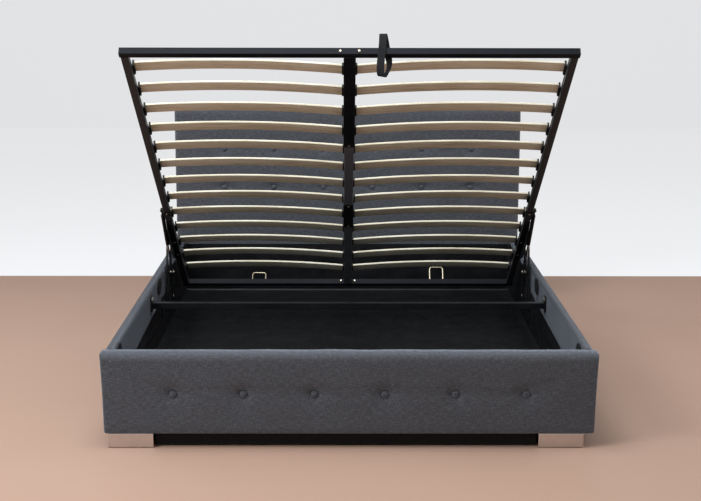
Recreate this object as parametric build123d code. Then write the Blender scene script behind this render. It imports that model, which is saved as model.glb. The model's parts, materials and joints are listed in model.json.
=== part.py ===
from build123d import *
import os
from math import atan2, cos, degrees, hypot, radians, sin

# Ottoman storage bed for a 1500 by 2000 mattress, with its slatted platform lifted.
# Millimetres, +Z up, +Y from the footboard to the headboard.
# The origin is on the floor, midway between the sides and midway between the ends.

# Outside of the bed
inner_width = 1552.0
inner_length = 2046.0
rail_thickness = 39.0
footboard_thickness = 48.0
headboard_thickness = 80.0
foot_height = 50.0
rail_top = 330.0
headboard_top = 940.0
bed_width = inner_width + 2 * rail_thickness
overall_length = inner_length + footboard_thickness + headboard_thickness
foot_face = -overall_length / 2
foot_inside = foot_face + footboard_thickness
head_inside = foot_inside + inner_length
head_back = head_inside + headboard_thickness
rail_inside = inner_width / 2
rail_outside = bed_width / 2

# Clearances
soft_gap = 0.3
pin_gap = 0.05
bolt_gap = 0.1
through_gap = 0.5
overrun = 2.0

# Boards and padding
board_thickness = 18.0
inner_padding = 6.0
cover_edge_radius = 9.0
board_top_gap = 10.0
lining_top = 235.0
lining_top_at_head = 290.0
lining_seam_drop = 8.0
flap_inset = 65.0
footboard_width_gap = 12.0
tuft_radius = 56.0
tuft_depth = 9.0
button_radius = 11.0
button_height = 6.0
button_spacing = 233.0
buttons_in_row = 6
footboard_button_height = 185.0
headboard_front_padding = 32.0
headboard_side_padding = 12.0
headboard_batten = 44.0
headboard_panel = 12.0
headboard_button_rows = (562.0, 745.0)
back_cloth = 1.5
headboard_bays = 4

# Feet and base
foot_width = 150.0
front_foot_depth = 60.0
foot_recess = 6.0
left_foot_inset = 15.0
right_foot_inset = 37.0
foot_edge = 1.5
foot_base_edge = 3.0
rear_foot_width = 60.0
rear_foot_inset = 40.0
beam_thickness = 18.0
beam_set_back = 30.0
beam_end_gap = 4.0
batten_width = 34.0
batten_inset = 10.0
batten_height = 16.0
centre_beam_width = 60.0
centre_beam_height = 30.0
centre_foot_radius = 22.0
centre_foot_shares = (0.3, 0.7)
panel_thickness = 5.0
panel_joint = 2.0
lining_thickness = 1.5

# Corner brackets
bracket_leg = 34.0
bracket_height = 120.0
bracket_plate = 3.0
bracket_base = 90.0
corner_bolt_shares = (0.2, 0.8)
corner_bolt_radius = 4.0
corner_bolt_length = 18.0
bolt_head_radius = 6.5
bolt_head_height = 4.0

# Crossbar, which the closed platform rests on
platform_drop = 49.0
crossbar_size = 25.0
crossbar_from_head = 1187.0
end_plate_height = 60.0
end_plate_length = 46.0
end_plate_thickness = 4.0

# Rub pads on the inner faces of the rails
pad_height = 66.0
pad_length = 97.0
pad_thickness = 3.0
pad_drop = 5.0
pad_from_foot = 82.0
pad_from_head = 934.0

# Slatted platform, in its own frame: X across, Y from the foot rail, Z to the mattress
tube = 25.0
tube_wall = 1.5
tube_corner = 2.0
side_clearance = 25.5
foot_clearance = 48.0
head_clearance = 12.0
platform_width = inner_width - 2 * side_clearance
platform_length = inner_length - foot_clearance - head_clearance
cap_thickness = 3.5
centre_tube_width = 35.0
channel_wall = 2.5
channel_gap = 0.25
channel_end = 640.0
sleeve_from_head = 645.0
sleeve_length = 210.0
sleeve_end = platform_length - sleeve_from_head
sleeve_start = sleeve_end - sleeve_length
slat_count = 13
slat_width = 53.0
slat_thickness = 8.0
slat_bow = 14.5
slat_seat = 21.3
slat_rise = 10.0
first_slat = 107.0
slat_margin = 130.4
slat_pitch = (platform_length - first_slat - slat_width - slat_margin) / (slat_count - 1)
side_holder_reach = 6.0
centre_holder_reach = 5.5
holder_wall = 2.0
holder_grip = 5.0
slat_end_gap = 1.0
stop_place = 406.0
stop_width = 60.0
stop_height = 62.0
left_stop_height = 42.0
left_stop_lean = 20.0
stop_wire = 2.5
stop_bend = 12.0
strap_place = 110.0
strap_width = 26.0
strap_thickness = 2.4
strap_above = 62.0
strap_below = 86.0
strap_bend = 6.0
frame_bolt_place = 31.0
frame_bolt_radius = 4.0
head_bolt_height = 16.0

# Open position of the platform: its slope and the lower edge of its head end
open_tilt = 34.95
open_head_gap = 297.67
open_head_height = 151.1

# Lifting mechanism
front_arm_from_head = 491.0
rear_arm_from_head = 361.0
strut_from_head = 771.0
arm_pin_height = 16.3
base_pivot_height = 160.0
base_plate_thickness = 3.0
arm_thickness = 4.0
arm_gap = 0.5
arm_end_radius = 14.0
arm_waist_share = 0.6
strut_branch_run = 138.57
strut_branch_rise = 124.5
strut_radius = 8.0
rod_radius = 4.0
bore_radius = 6.5
piston_gap = 0.2
strut_neck = 34.0
rod_neck = 24.0
end_wall = 4.0
gland = 4.0
piston = 5.0
piston_stand_off = 1.0
eye_radius = 9.0
eye_thickness = 9.0
strut_pin_radius = 4.0
strut_pin_head = 7.0
pin_head_height = 2.4
arm_pin_radius = 5.0
arm_pin_head = 9.0
mount_plate = 3.0
strut_plate_half = 16.0
arm_plate_margin = 55.0
gusset_depth = 42.0
gusset_run = 150.0
gusset_foot = 60.0
base_plate_before = 113.0
base_plate_after = 89.0
base_plate_below = 20.0
base_plate_above = 68.0
base_plate_corner = 16.0
base_bolt_drop = 20.0
base_bolt_shares = (0.13, 0.34, 0.55, 0.67, 0.93)
base_bolt_radius = 3.0
base_bolt_head = 6.0
base_bolt_length = 22.0


def block(x_range, y_range, z_range):
    """A box between two limits on each axis."""
    ranges = (x_range, y_range, z_range)
    middle = [(low + high) / 2 for low, high in ranges]
    size = [high - low for low, high in ranges]
    return Pos(*middle) * Box(*size)


def rod_along_x(radius, x_range, y, z):
    """A round bar along X."""
    start, end = x_range
    return Pos((start + end) / 2, y, z) * Rot(0, 90, 0) * Cylinder(radius, end - start)


def rod_along_y(radius, y_range, x, z):
    """A round bar along Y."""
    start, end = y_range
    return Pos(x, (start + end) / 2, z) * Rot(90, 0, 0) * Cylinder(radius, end - start)


def other_side(piece):
    """The same piece on the left of the bed."""
    return mirror(piece, about=Plane.YZ)


def both_sides(piece):
    """A piece and its mirror image, as one group."""
    return Compound(children=[Compound(piece.solids()), Compound(other_side(piece).solids())])


def group(pieces):
    """Separate solids in one group."""
    return Compound(children=[solid for piece in pieces for solid in piece.solids()])


# Positions of the platform

closed_height = rail_top - platform_drop
closed_front = footboard_thickness + foot_clearance
open_front = (footboard_thickness + inner_length - open_head_gap
              - platform_length * cos(radians(open_tilt)))
open_height = open_head_height + platform_length * sin(radians(open_tilt))
crossbar_top = closed_height - soft_gap
front_arm_place = platform_length - front_arm_from_head
rear_arm_place = platform_length - rear_arm_from_head
strut_place = platform_length - strut_from_head


def platform_point(share, along, up):
    """A platform point in the side view; share 0 is open and 1 is closed."""
    slope = radians(-open_tilt * (1 - share))
    front = open_front + (closed_front - open_front) * share
    height = open_height + (closed_height - open_height) * share
    y = front + along * cos(slope) - up * sin(slope)
    z = height + along * sin(slope) + up * cos(slope)
    return y, z


def base_pivot(along):
    """The fixed pivot that is as far from the open place of an arm's pin as from the closed one."""
    y_open, z_open = platform_point(0, along, arm_pin_height)
    y_closed, z_closed = platform_point(1, along, arm_pin_height)
    y_middle, z_middle = (y_open + y_closed) / 2, (z_open + z_closed) / 2
    run, rise = y_closed - y_open, z_closed - z_open
    return y_middle - (base_pivot_height - z_middle) * rise / run, base_pivot_height


def bearing(start, end):
    """Direction from one side-view point to another, in degrees from +Y towards +Z."""
    return degrees(atan2(end[1] - start[1], end[0] - start[0]))


def distance(start, end):
    return hypot(end[0] - start[0], end[1] - start[1])


def turned(point, centre, angle):
    """A side-view point turned about a centre."""
    y, z = point[0] - centre[0], point[1] - centre[1]
    turn = radians(angle)
    return centre[0] + y * cos(turn) - z * sin(turn), centre[1] + y * sin(turn) + z * cos(turn)


front_pivot = base_pivot(front_arm_place)
rear_pivot = base_pivot(rear_arm_place)
front_pin = platform_point(0, front_arm_place, arm_pin_height)
rear_pin = platform_point(0, rear_arm_place, arm_pin_height)
strut_upper = platform_point(0, strut_place, arm_pin_height)
strut_lower = (front_pivot[0] + strut_branch_run, front_pivot[1] + strut_branch_rise)
front_pin_closed = platform_point(1, front_arm_place, arm_pin_height)
rear_pin_closed = platform_point(1, rear_arm_place, arm_pin_height)
front_swing = bearing(front_pivot, front_pin_closed) - bearing(front_pivot, front_pin)
rear_swing = bearing(rear_pivot, rear_pin_closed) - bearing(rear_pivot, rear_pin)
strut_upper_closed = platform_point(1, strut_place, arm_pin_height)
strut_lower_closed = turned(strut_lower, front_pivot, front_swing)
strut_open = distance(strut_lower, strut_upper)
strut_closed = distance(strut_lower_closed, strut_upper_closed)
strut_swing = bearing(strut_lower_closed, strut_upper_closed) - bearing(strut_lower, strut_upper)
cylinder_length = strut_closed - strut_neck - rod_neck
rod_length = strut_closed - strut_neck - end_wall - piston_stand_off
neck_radius = (rod_radius + eye_thickness / 2) / 2

# Limits of the base plate, and the seam between cloth and padding under its screws
base_plate_start = front_pivot[0] - base_plate_before
base_plate_end = rear_pivot[0] + base_plate_after
base_plate_low = base_pivot_height - base_plate_below
base_plate_top = base_pivot_height + base_plate_above
lining_seam = base_plate_top - base_bolt_drop - lining_seam_drop

# Layers of the mechanism, from the rail inwards
base_plate_outer = rail_inside - soft_gap
base_plate_inner = base_plate_outer - base_plate_thickness
arm_outer = base_plate_inner - arm_gap
arm_inner = arm_outer - arm_thickness
tube_face = platform_width / 2
plate_face = tube_face + mount_plate
strut_x = (arm_inner + tube_face) / 2


def side_view(point):
    """The row-frame Y and Z of a side-view point measured from the footboard's front."""
    return point[0] + foot_face, point[1]


def on_platform(piece):
    """Moves a piece from the platform's own frame to its open place."""
    return piece.moved(Location((0, foot_face + open_front, open_height), (-open_tilt, 0, 0)))


# Upholstered panels

def button_places():
    """X of the buttons of one row."""
    half = (buttons_in_row - 1) / 2
    return [(number - half) * button_spacing for number in range(buttons_in_row)]


def tuft(x, front, z):
    """The ball that presses a soft round hollow into a padded front."""
    ball = (tuft_radius**2 + tuft_depth**2) / (2 * tuft_depth)
    return Pos(x, front - ball + tuft_depth, z) * Sphere(ball)


def button(x, front, z):
    """A fabric-covered button seated in the bottom of its tuft."""
    shank = button_radius / 2
    seat = front + tuft_depth - soft_gap
    crown = seat - button_height
    rim = crown + button_height / 2
    dome = (button_radius**2 + (rim - crown)**2) / (2 * (rim - crown))
    with BuildSketch() as section:
        with BuildLine():
            Polyline((0, seat), (shank, seat), (button_radius, rim))
            RadiusArc((button_radius, rim), (0, crown), dome)
            Line((0, crown), (0, seat))
        make_face()
    return Pos(x, 0, z) * revolve(section.sketch, Axis.Y)


def padded_panel(width, y_range, z_range):
    """A padded block with soft long edges and ends, seen from the front."""
    panel = block((-width / 2, width / 2), y_range, z_range)
    upper = panel.edges().filter_by(lambda edge: edge.center().Z > z_range[0] + overrun)
    return fillet(upper, cover_edge_radius)


def footboard_board():
    """The structural board of the footboard, bored for the corner bolts."""
    half = bed_width / 2 - footboard_width_gap
    back = foot_inside - inner_padding - soft_gap
    board = block((-half, half), (back - board_thickness, back), (foot_height, rail_top - board_top_gap))
    for x, z in corner_bolt_places():
        for side in (-1, 1):
            board -= rod_along_y(corner_bolt_radius + bolt_gap, (back - corner_bolt_length, back + overrun),
                                 side * x, z)
    return board


def footboard_cover():
    """Foam and fabric folded over the board, open below, with one row of tufts."""
    cover = padded_panel(bed_width, (foot_face, foot_inside), (foot_height, rail_top))
    half = bed_width / 2 - footboard_width_gap + soft_gap
    front = foot_inside - inner_padding - 2 * soft_gap - board_thickness
    slot = block((-half, half), (front, foot_inside - inner_padding),
                 (foot_height - overrun, rail_top - board_top_gap + soft_gap))
    cover -= slot
    for x in button_places():
        cover -= tuft(x, foot_face, footboard_button_height)
    for x, z in corner_bolt_places():
        for side in (-1, 1):
            cover -= rod_along_y(corner_bolt_radius + through_gap,
                                 (foot_inside - inner_padding - overrun, foot_inside + overrun), side * x, z)
    return cover


def rail_board():
    """The structural board of the right rail, bored for what is bolted to it."""
    low = rail_inside + inner_padding + soft_gap
    board = block((low, low + board_thickness), (foot_inside + soft_gap, head_inside - soft_gap),
                  (foot_height + soft_gap, rail_top - board_top_gap))
    for y, z in rail_bolt_places():
        board -= rod_along_x(base_bolt_radius + bolt_gap, (low - overrun, rail_inside + base_bolt_length), y, z)
    return board


def rail_cover():
    """Foam and fabric of the right rail: a full outer side, a rounded top and a short inner side."""
    y_range = (foot_inside + soft_gap, head_inside - soft_gap)
    cover = block((rail_inside, rail_outside), y_range, (foot_height, rail_top))
    top = cover.edges().filter_by(Axis.Y).filter_by(lambda edge: edge.center().Z > rail_top - overrun)
    cover = fillet(top, cover_edge_radius)
    inner = rail_inside + inner_padding
    long_range = (y_range[0] - overrun, y_range[1] + overrun)
    cover -= block((inner, inner + board_thickness + 2 * soft_gap), long_range,
                   (foot_height - overrun, rail_top - board_top_gap + soft_gap))
    cover -= block((rail_inside - overrun, inner + overrun), long_range, (foot_height - overrun, lining_seam))
    for y, z in rail_bolt_places():
        cover -= rod_along_x(base_bolt_radius + through_gap, (rail_inside - overrun, inner + overrun), y, z)
    return cover


def headboard_limits():
    """Half width, front, back and top of the wooden core of the headboard."""
    half = bed_width / 2 - headboard_side_padding - soft_gap
    front = head_inside + headboard_front_padding + soft_gap
    back = head_back - back_cloth - soft_gap
    return half, front, back, headboard_top - headboard_side_padding - soft_gap


def headboard_board():
    """The panel behind the padding, bored for the corner bolts."""
    half, front, back, top = headboard_limits()
    board = block((-half, half), (front, front + headboard_panel), (foot_height, top))
    for x, z in corner_bolt_places():
        for side in (-1, 1):
            board -= rod_along_y(corner_bolt_radius + bolt_gap, (front - overrun, front + corner_bolt_length),
                                 side * x, z)
    return board


def headboard_battens():
    """Two rails and the uprights between them, behind the panel."""
    half, front, back, top = headboard_limits()
    depth = (front + headboard_panel, back)
    low, high = foot_height + headboard_batten, top - headboard_batten
    battens = [block((-half, half), depth, (foot_height, low)), block((-half, half), depth, (high, top))]
    step = (2 * half - headboard_batten) / headboard_bays
    for number in range(headboard_bays + 1):
        left = -half + number * step
        battens.append(block((left, left + headboard_batten), depth, (low, high)))
    return group(battens)


def headboard_cover():
    """Foam and fabric over the front, top and sides of the frame, with two rows of tufts."""
    cover = padded_panel(bed_width, (head_inside, head_back), (foot_height, headboard_top))
    half = bed_width / 2 - headboard_side_padding
    cover -= block((-half, half), (head_inside + headboard_front_padding, head_back + overrun),
                   (foot_height - overrun, headboard_top - headboard_side_padding))
    for z in headboard_button_rows:
        for x in button_places():
            cover -= tuft(x, head_inside, z)
    for x, z in corner_bolt_places():
        for side in (-1, 1):
            cover -= rod_along_y(corner_bolt_radius + through_gap,
                                 (head_inside - overrun, head_inside + headboard_front_padding + overrun),
                                 side * x, z)
    return cover


def headboard_back():
    """The dust cloth stapled over the back of the battens."""
    half, front, back, top = headboard_limits()
    return block((-half, half), (head_back - back_cloth, head_back), (foot_height, top))


# Corner brackets and their bolts

def corner_bolt_places():
    """X and height of the corner bolts that go into the end panels."""
    x = rail_inside - soft_gap - bracket_plate - (bracket_leg - bracket_plate) / 2
    return [(x, bracket_base + share * bracket_height) for share in corner_bolt_shares]


def corner_bracket(end):
    """A steel angle in a right-hand corner; end is 1 at the headboard and -1 at the footboard."""
    outer_x = rail_inside - soft_gap
    wall = head_inside if end > 0 else foot_inside
    outer_y = wall - end * soft_gap
    z_range = (bracket_base, bracket_base + bracket_height)
    reach = outer_y - end * bracket_leg
    plate = outer_y - end * bracket_plate
    on_rail = block((outer_x - bracket_plate, outer_x), sorted((outer_y, reach)), z_range)
    on_panel = block((outer_x - bracket_leg, outer_x), sorted((outer_y, plate)), z_range)
    angle = on_rail + on_panel
    for x, z in corner_bolt_places():
        angle -= rod_along_y(corner_bolt_radius + bolt_gap,
                             (min(outer_y, plate) - overrun, max(outer_y, plate) + overrun), x, z)
    return angle


def corner_bolt(end, x, z):
    """A hexagon-headed bolt through a corner bracket into an end panel."""
    wall = head_inside if end > 0 else foot_inside
    face = wall - end * (soft_gap + bracket_plate)
    padding = headboard_front_padding if end > 0 else inner_padding
    tip = wall + end * (padding + corner_bolt_length / 2)
    head = Pos(x, face - end * bolt_head_height / 2, z) * Rot(90, 0, 0) * extrude(
        RegularPolygon(bolt_head_radius, 6), bolt_head_height / 2, both=True)
    shank = rod_along_y(corner_bolt_radius, sorted((face, tip)), x, z)
    return head + shank


def corner_brackets():
    return group([both_sides(corner_bracket(end)) for end in (-1, 1)])


def corner_bolts():
    bolts = [corner_bolt(end, x, z) for end in (-1, 1) for x, z in corner_bolt_places()]
    return group([both_sides(bolt) for bolt in bolts])


# Feet and base

def front_foot(x_range):
    """A chromed block under a front corner."""
    front = foot_face + foot_recess
    foot = block(x_range, (front, front + front_foot_depth), (0, foot_height - soft_gap))
    base = foot.faces().sort_by(Axis.Z)[0].edges()
    foot = chamfer(base, foot_base_edge)
    rest = foot.edges().filter_by(lambda edge: edge.center().Z > foot_base_edge + foot_edge)
    return fillet(rest, foot_edge)


def front_feet():
    right = rail_outside - right_foot_inset
    left = -rail_outside + left_foot_inset
    return group([front_foot((left, left + foot_width)), front_foot((right - foot_width, right))])


def rear_foot():
    outer = rail_outside - rear_foot_inset
    back = head_back - foot_recess
    return block((outer - rear_foot_width, outer), (back - rear_foot_width, back), (0, foot_height - soft_gap))


def front_beam():
    """The black cross-board between the front feet."""
    front = foot_face + beam_set_back
    return block((-rail_outside + left_foot_inset + foot_width + beam_end_gap,
                  rail_outside - right_foot_inset - foot_width - beam_end_gap),
                 (front, front + beam_thickness), (beam_end_gap, foot_height - soft_gap))


def rear_beam():
    half = rail_inside - batten_inset - batten_width
    return block((-half, half), (head_inside - beam_thickness, head_inside - soft_gap),
                 (foot_height - centre_beam_height, foot_height))


def centre_beam():
    """The lengthwise board under the middle of the storage floor."""
    half = centre_beam_width / 2
    return block((-half, half), (foot_face + beam_set_back + beam_thickness, head_inside - beam_thickness),
                 (foot_height - centre_beam_height, foot_height - soft_gap))


def centre_feet():
    run = inner_length
    feet = [Pos(0, foot_inside + share * run, (foot_height - centre_beam_height) / 2)
            * Cylinder(centre_foot_radius, foot_height - centre_beam_height) for share in centre_foot_shares]
    return group(feet)


def rail_batten():
    """The black batten under the right rail, which carries the edge of the floor panels."""
    inner = rail_inside - batten_inset
    return block((inner, inner + batten_width), (foot_inside + beam_thickness, head_inside - beam_thickness),
                 (foot_height - batten_height, foot_height - soft_gap))


def floor_panel():
    """The right half of the hardboard floor of the storage box."""
    return block((panel_joint / 2, rail_inside - soft_gap), (foot_inside + soft_gap, head_inside - soft_gap),
                 (foot_height, foot_height + panel_thickness))


def lining_tray():
    """The black cloth tray on the floor and up the four walls, cut out round the corner brackets."""
    low = foot_height + panel_thickness + soft_gap
    top = lining_seam - soft_gap
    half = rail_inside + lining_thickness
    front, back = foot_inside + soft_gap, head_inside - soft_gap
    tray = block((-half, half), (front, back), (low, top))
    tray -= block((-rail_inside, rail_inside), (front + lining_thickness, back - lining_thickness),
                  (low + lining_thickness, top + overrun))
    reach = bracket_leg + soft_gap
    for end, wall in ((-1, front), (1, back)):
        for side in (-1, 1):
            tray -= block(sorted((side * rail_inside, side * (rail_inside - soft_gap - reach))),
                          sorted((wall + end * overrun, wall - end * reach)),
                          (bracket_base - soft_gap, top + overrun))
    return tray


def lining_flap(end):
    """The upper part of the cloth on an end wall, between the corner brackets."""
    wall = head_inside if end > 0 else foot_inside
    outer = wall - end * soft_gap
    top = lining_top_at_head if end > 0 else lining_top
    half = rail_inside - flap_inset
    low = lining_seam - overrun
    return block((-half, half), sorted((outer, outer - end * lining_thickness)), (low, top))


def storage_lining():
    return lining_tray() + lining_flap(-1) + lining_flap(1)


# Crossbar and rub pads

crossbar_middle = head_inside - crossbar_from_head + crossbar_size / 2


def crossbar():
    """The square tube across the box."""
    half = rail_inside - soft_gap - end_plate_thickness
    bar = extrude(Plane.YZ * tube_section(crossbar_size, crossbar_size), half, both=True)
    return bar.moved(Location((0, crossbar_middle, crossbar_top - crossbar_size / 2)))


def crossbar_bracket():
    """The end plate of the crossbar, screwed to the rail."""
    outer = rail_inside - soft_gap
    top = crossbar_top + crossbar_size
    inner = outer - end_plate_thickness
    half = end_plate_length / 2
    plate = block((inner, outer), (crossbar_middle - half, crossbar_middle + half),
                  (top - end_plate_height, top))
    plate = fillet(plate.edges().filter_by(Axis.X), end_plate_thickness)
    for y, z in end_plate_bolt_places():
        plate -= rod_along_x(base_bolt_radius + bolt_gap, (inner - overrun, outer + overrun), y, z)
    return plate


def end_plate_bolt_places():
    """Screws above the crossbar at each side of its end plate."""
    z = crossbar_top + crossbar_size / 2
    return [(crossbar_middle + side * end_plate_length / 4, z) for side in (-1, 1)]


def end_plate_bolt(y, z):
    face = rail_inside - soft_gap - end_plate_thickness
    head = rod_along_x(base_bolt_head, (face - pin_head_height, face), y, z)
    return head + rod_along_x(base_bolt_radius, (face, rail_inside + base_bolt_length - overrun), y, z)


def rub_pad(y):
    """An oval black pad on the inner face of the right rail."""
    middle = rail_top - pad_drop - pad_height / 2
    with BuildSketch(Plane.YZ) as outline:
        Ellipse(pad_length / 2, pad_height / 2)
    pad = extrude(outline.sketch, pad_thickness)
    return pad.moved(Location((rail_inside - soft_gap - pad_thickness, y, middle)))


def rub_pads():
    places = (foot_inside + pad_from_foot, head_inside - pad_from_head)
    return group([both_sides(rub_pad(y)) for y in places])


# Lifting mechanism, right side

def arm_plate(points, holes, hole_radius, x_range):
    """A flat arm through side-view points, rounded at its ends, with a hole at each pivot."""
    start, end = x_range
    with BuildSketch(Plane.YZ) as outline:
        for first, second in points:
            middle = ((first[0] + second[0]) / 2 + foot_face, (first[1] + second[1]) / 2)
            with Locations(Location((*middle, 0), (0, 0, bearing(first, second)))):
                SlotCenterToCenter(distance(first, second), 2 * arm_end_radius)
        for centre in holes:
            with Locations(side_view(centre)):
                Circle(hole_radius, mode=Mode.SUBTRACT)
    return extrude(outline.sketch, end - start).moved(Location((start, 0, 0)))


def front_arm():
    """The long arm, with a branch that carries the foot of the gas strut."""
    waist = [low + (high - low) * arm_waist_share for low, high in zip(front_pivot, front_pin)]
    lines = [(front_pivot, front_pin), (front_pivot, strut_lower), (tuple(waist), strut_lower)]
    arm = arm_plate(lines, (front_pivot, front_pin), arm_pin_radius + pin_gap, (arm_inner, arm_outer))
    y, z = side_view(strut_lower)
    return arm - rod_along_x(strut_pin_radius + pin_gap, (arm_inner - overrun, arm_outer + overrun), y, z)


def rear_arm():
    return arm_plate([(rear_pivot, rear_pin)], (rear_pivot, rear_pin), arm_pin_radius + pin_gap,
                     (arm_inner, arm_outer))


def rear_arm_pin():
    """The pin at the top of the rear arm, which ends against the platform's plate."""
    y, z = side_view(rear_pin)
    pin = rod_along_x(arm_pin_radius, (plate_face + soft_gap, arm_outer), y, z)
    inner = rod_along_x(arm_pin_head, (arm_inner - pin_gap - pin_head_height, arm_inner - pin_gap), y, z)
    outer = rod_along_x(arm_pin_head, (arm_outer + pin_gap, arm_outer + pin_head_height), y, z)
    return pin + inner + rod_along_x(arm_pin_radius, (arm_outer, arm_outer + pin_head_height), y, z) + outer


def strut_lower_pin():
    """The pin that joins the strut's foot to the front arm."""
    y, z = side_view(strut_lower)
    eye_in, eye_out = strut_x - eye_thickness / 2, strut_x + eye_thickness / 2
    pin = rod_along_x(strut_pin_radius, (eye_in - soft_gap, arm_outer), y, z)
    head = rod_along_x(strut_pin_head, (eye_in - soft_gap - pin_head_height, eye_in - soft_gap), y, z)
    collar = rod_along_x(strut_pin_head, (eye_out + soft_gap, arm_inner), y, z)
    return pin + head + collar


def strut_upper_pin():
    """The pin in the strut's upper eye, which ends against the platform's plate."""
    y, z = side_view(strut_upper)
    eye_in, eye_out = strut_x - eye_thickness / 2, strut_x + eye_thickness / 2
    pin = rod_along_x(strut_pin_radius, (plate_face + soft_gap, eye_out + soft_gap), y, z)
    return pin + rod_along_x(strut_pin_head, (eye_out + soft_gap, eye_out + soft_gap + pin_head_height), y, z)


def along_strut(piece):
    """Moves a piece drawn up the Z axis to the strut, with its foot on the lower pin."""
    y, z = side_view(strut_lower)
    return piece.moved(Location((strut_x, y, z), (bearing(strut_lower, strut_upper) - 90, 0, 0)))


def fitting(direction, reach):
    """A strut's flat round end fitting and its neck, which runs up or down the strut."""
    neck = Cylinder(neck_radius, reach, align=(Align.CENTER, Align.CENTER, Align.MIN if direction > 0 else Align.MAX))
    return Rot(0, 90, 0) * Cylinder(eye_radius, eye_thickness) + neck


def eye_hole():
    return Rot(0, 90, 0) * Cylinder(strut_pin_radius + pin_gap, eye_thickness + 2 * overrun)


def strut_rod():
    """The polished rod with its foot fitting and its piston."""
    low = rod_neck - 2 * overrun
    rod = Pos(0, 0, (low + rod_length) / 2) * Cylinder(rod_radius, rod_length - low)
    head = Pos(0, 0, rod_length - piston / 2) * Cylinder(bore_radius - piston_gap, piston)
    return along_strut(fitting(1, rod_neck - overrun) + rod + head - eye_hole())


def strut_cylinder():
    """The pressure tube with its gland, end wall and upper fitting."""
    start = strut_open - strut_neck - cylinder_length
    body = fillet(Cylinder(strut_radius, cylinder_length).edges(), overrun / 2)
    body = Pos(0, 0, start + cylinder_length / 2) * body
    body += Pos(0, 0, strut_open) * (fitting(-1, strut_neck) - eye_hole())
    hollow = cylinder_length - gland - end_wall
    body -= Pos(0, 0, start + gland + hollow / 2) * Cylinder(bore_radius, hollow)
    body -= Pos(0, 0, start + gland / 2) * Cylinder(rod_radius + pin_gap, gland + 2 * overrun)
    return along_strut(body)


def base_plate():
    """The plate on the rail that carries both arms."""
    with BuildSketch(Plane.YZ) as outline:
        middle = (base_plate_start + base_plate_end) / 2 + foot_face, (base_plate_low + base_plate_top) / 2
        with Locations(middle):
            RectangleRounded(base_plate_end - base_plate_start, base_plate_top - base_plate_low, base_plate_corner)
        for pivot in (front_pivot, rear_pivot):
            with Locations(side_view(pivot)):
                Circle(arm_pin_radius + pin_gap, mode=Mode.SUBTRACT)
    plate = extrude(outline.sketch, base_plate_thickness).moved(Location((base_plate_inner, 0, 0)))
    for y, z in base_bolt_places():
        plate -= countersunk(base_bolt_head, y, z, pin_gap)
    return plate


def base_bolt_places():
    """The row of screws along the base plate."""
    run = base_plate_end - base_plate_start
    z = base_plate_top - base_bolt_drop
    return [(foot_face + base_plate_start + share * run, z) for share in base_bolt_shares]


def rail_bolt_places():
    """Every screw that enters the right rail."""
    return base_bolt_places() + end_plate_bolt_places()


def countersunk(head_radius, y, z, gap):
    """A countersunk screw, or its hole where gap is above zero."""
    cone = Cone(base_bolt_radius + gap, head_radius + gap, base_plate_thickness)
    head = Pos((base_plate_inner + base_plate_outer) / 2, y, z) * Rot(0, -90, 0) * cone
    tip = rail_inside + base_bolt_length - overrun
    return head + rod_along_x(base_bolt_radius + gap, (base_plate_outer - overrun / 2, tip), y, z)


def base_screws():
    screws = [countersunk(base_bolt_head, y, z, 0) for y, z in base_bolt_places()]
    screws += [end_plate_bolt(y, z) for y, z in end_plate_bolt_places()]
    return group([both_sides(screw) for screw in screws])


def base_pivots():
    """The pins that the arms turn on, riveted in the base plates."""
    pins = []
    for pivot in (front_pivot, rear_pivot):
        y, z = side_view(pivot)
        pin = rod_along_x(arm_pin_radius, (arm_inner - soft_gap, base_plate_outer), y, z)
        head = rod_along_x(arm_pin_head, (arm_inner - soft_gap - pin_head_height, arm_inner - soft_gap), y, z)
        pins.append(both_sides(pin + head))
    return group(pins)


# Platform, drawn in its own frame

def tube_section(wide, tall):
    outer = RectangleRounded(wide, tall, tube_corner)
    return outer - RectangleRounded(wide - 2 * tube_wall, tall - 2 * tube_wall, tube_corner - tube_wall)


def tube_along(middle_x, wide, start, end):
    """A tube that runs from foot to head, resting on the platform's underside plane."""
    run = extrude(Plane.XZ * tube_section(wide, tube), -(end - start))
    return run.moved(Location((middle_x, start, tube / 2)))


def tube_across(half, start):
    """A tube across the platform."""
    run = extrude(Plane.YZ * tube_section(tube, tube), half, both=True)
    return run.moved(Location((0, start + tube / 2, tube / 2)))


def side_tube():
    return tube_along(tube_face - tube / 2, tube, tube, platform_length - tube)


def foot_rail():
    return tube_across(tube_face, 0)


def head_rail():
    return tube_across(tube_face, platform_length - tube)


def end_cap(start):
    """The plastic plug that closes one end of a cross tube."""
    cap = block((tube_face, tube_face + cap_thickness), (start, start + tube), (0, tube))
    cap = fillet(cap.edges().filter_by(Axis.X), tube_corner)
    plug = tube_wall + soft_gap
    inside = (plug, tube - plug)
    return cap + block((tube_face - tube / 2, tube_face), (start + plug, start + tube - plug), inside)


def end_caps():
    return group([both_sides(end_cap(start)) for start in (0, platform_length - tube)])


sleeve_middle = (sleeve_start + sleeve_end) / 2


def centre_tube_front():
    return tube_along(0, centre_tube_width, tube, sleeve_middle)


def centre_tube_rear():
    return tube_along(0, centre_tube_width, sleeve_middle, platform_length - tube)


def channel(start, end):
    """An open-topped channel round the underside and sides of the centre tube."""
    inner = centre_tube_width / 2 + channel_gap
    outer = inner + channel_wall
    shell = block((-outer, outer), (start, end), (-channel_gap - channel_wall, tube - channel_wall))
    edges = shell.edges().filter_by(Axis.Y).filter_by(lambda edge: edge.center().Z < 0)
    shell = fillet(edges, channel_wall / 2)
    return shell - block((-inner, inner), (start - overrun, end + overrun), (-channel_gap, tube + overrun))


def centre_channel():
    return channel(tube, channel_end)


def centre_sleeve():
    return channel(sleeve_start, sleeve_end)


def slat_starts():
    """Foot-side edge of each slat."""
    return [first_slat + number * slat_pitch for number in range(slat_count)]


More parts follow.
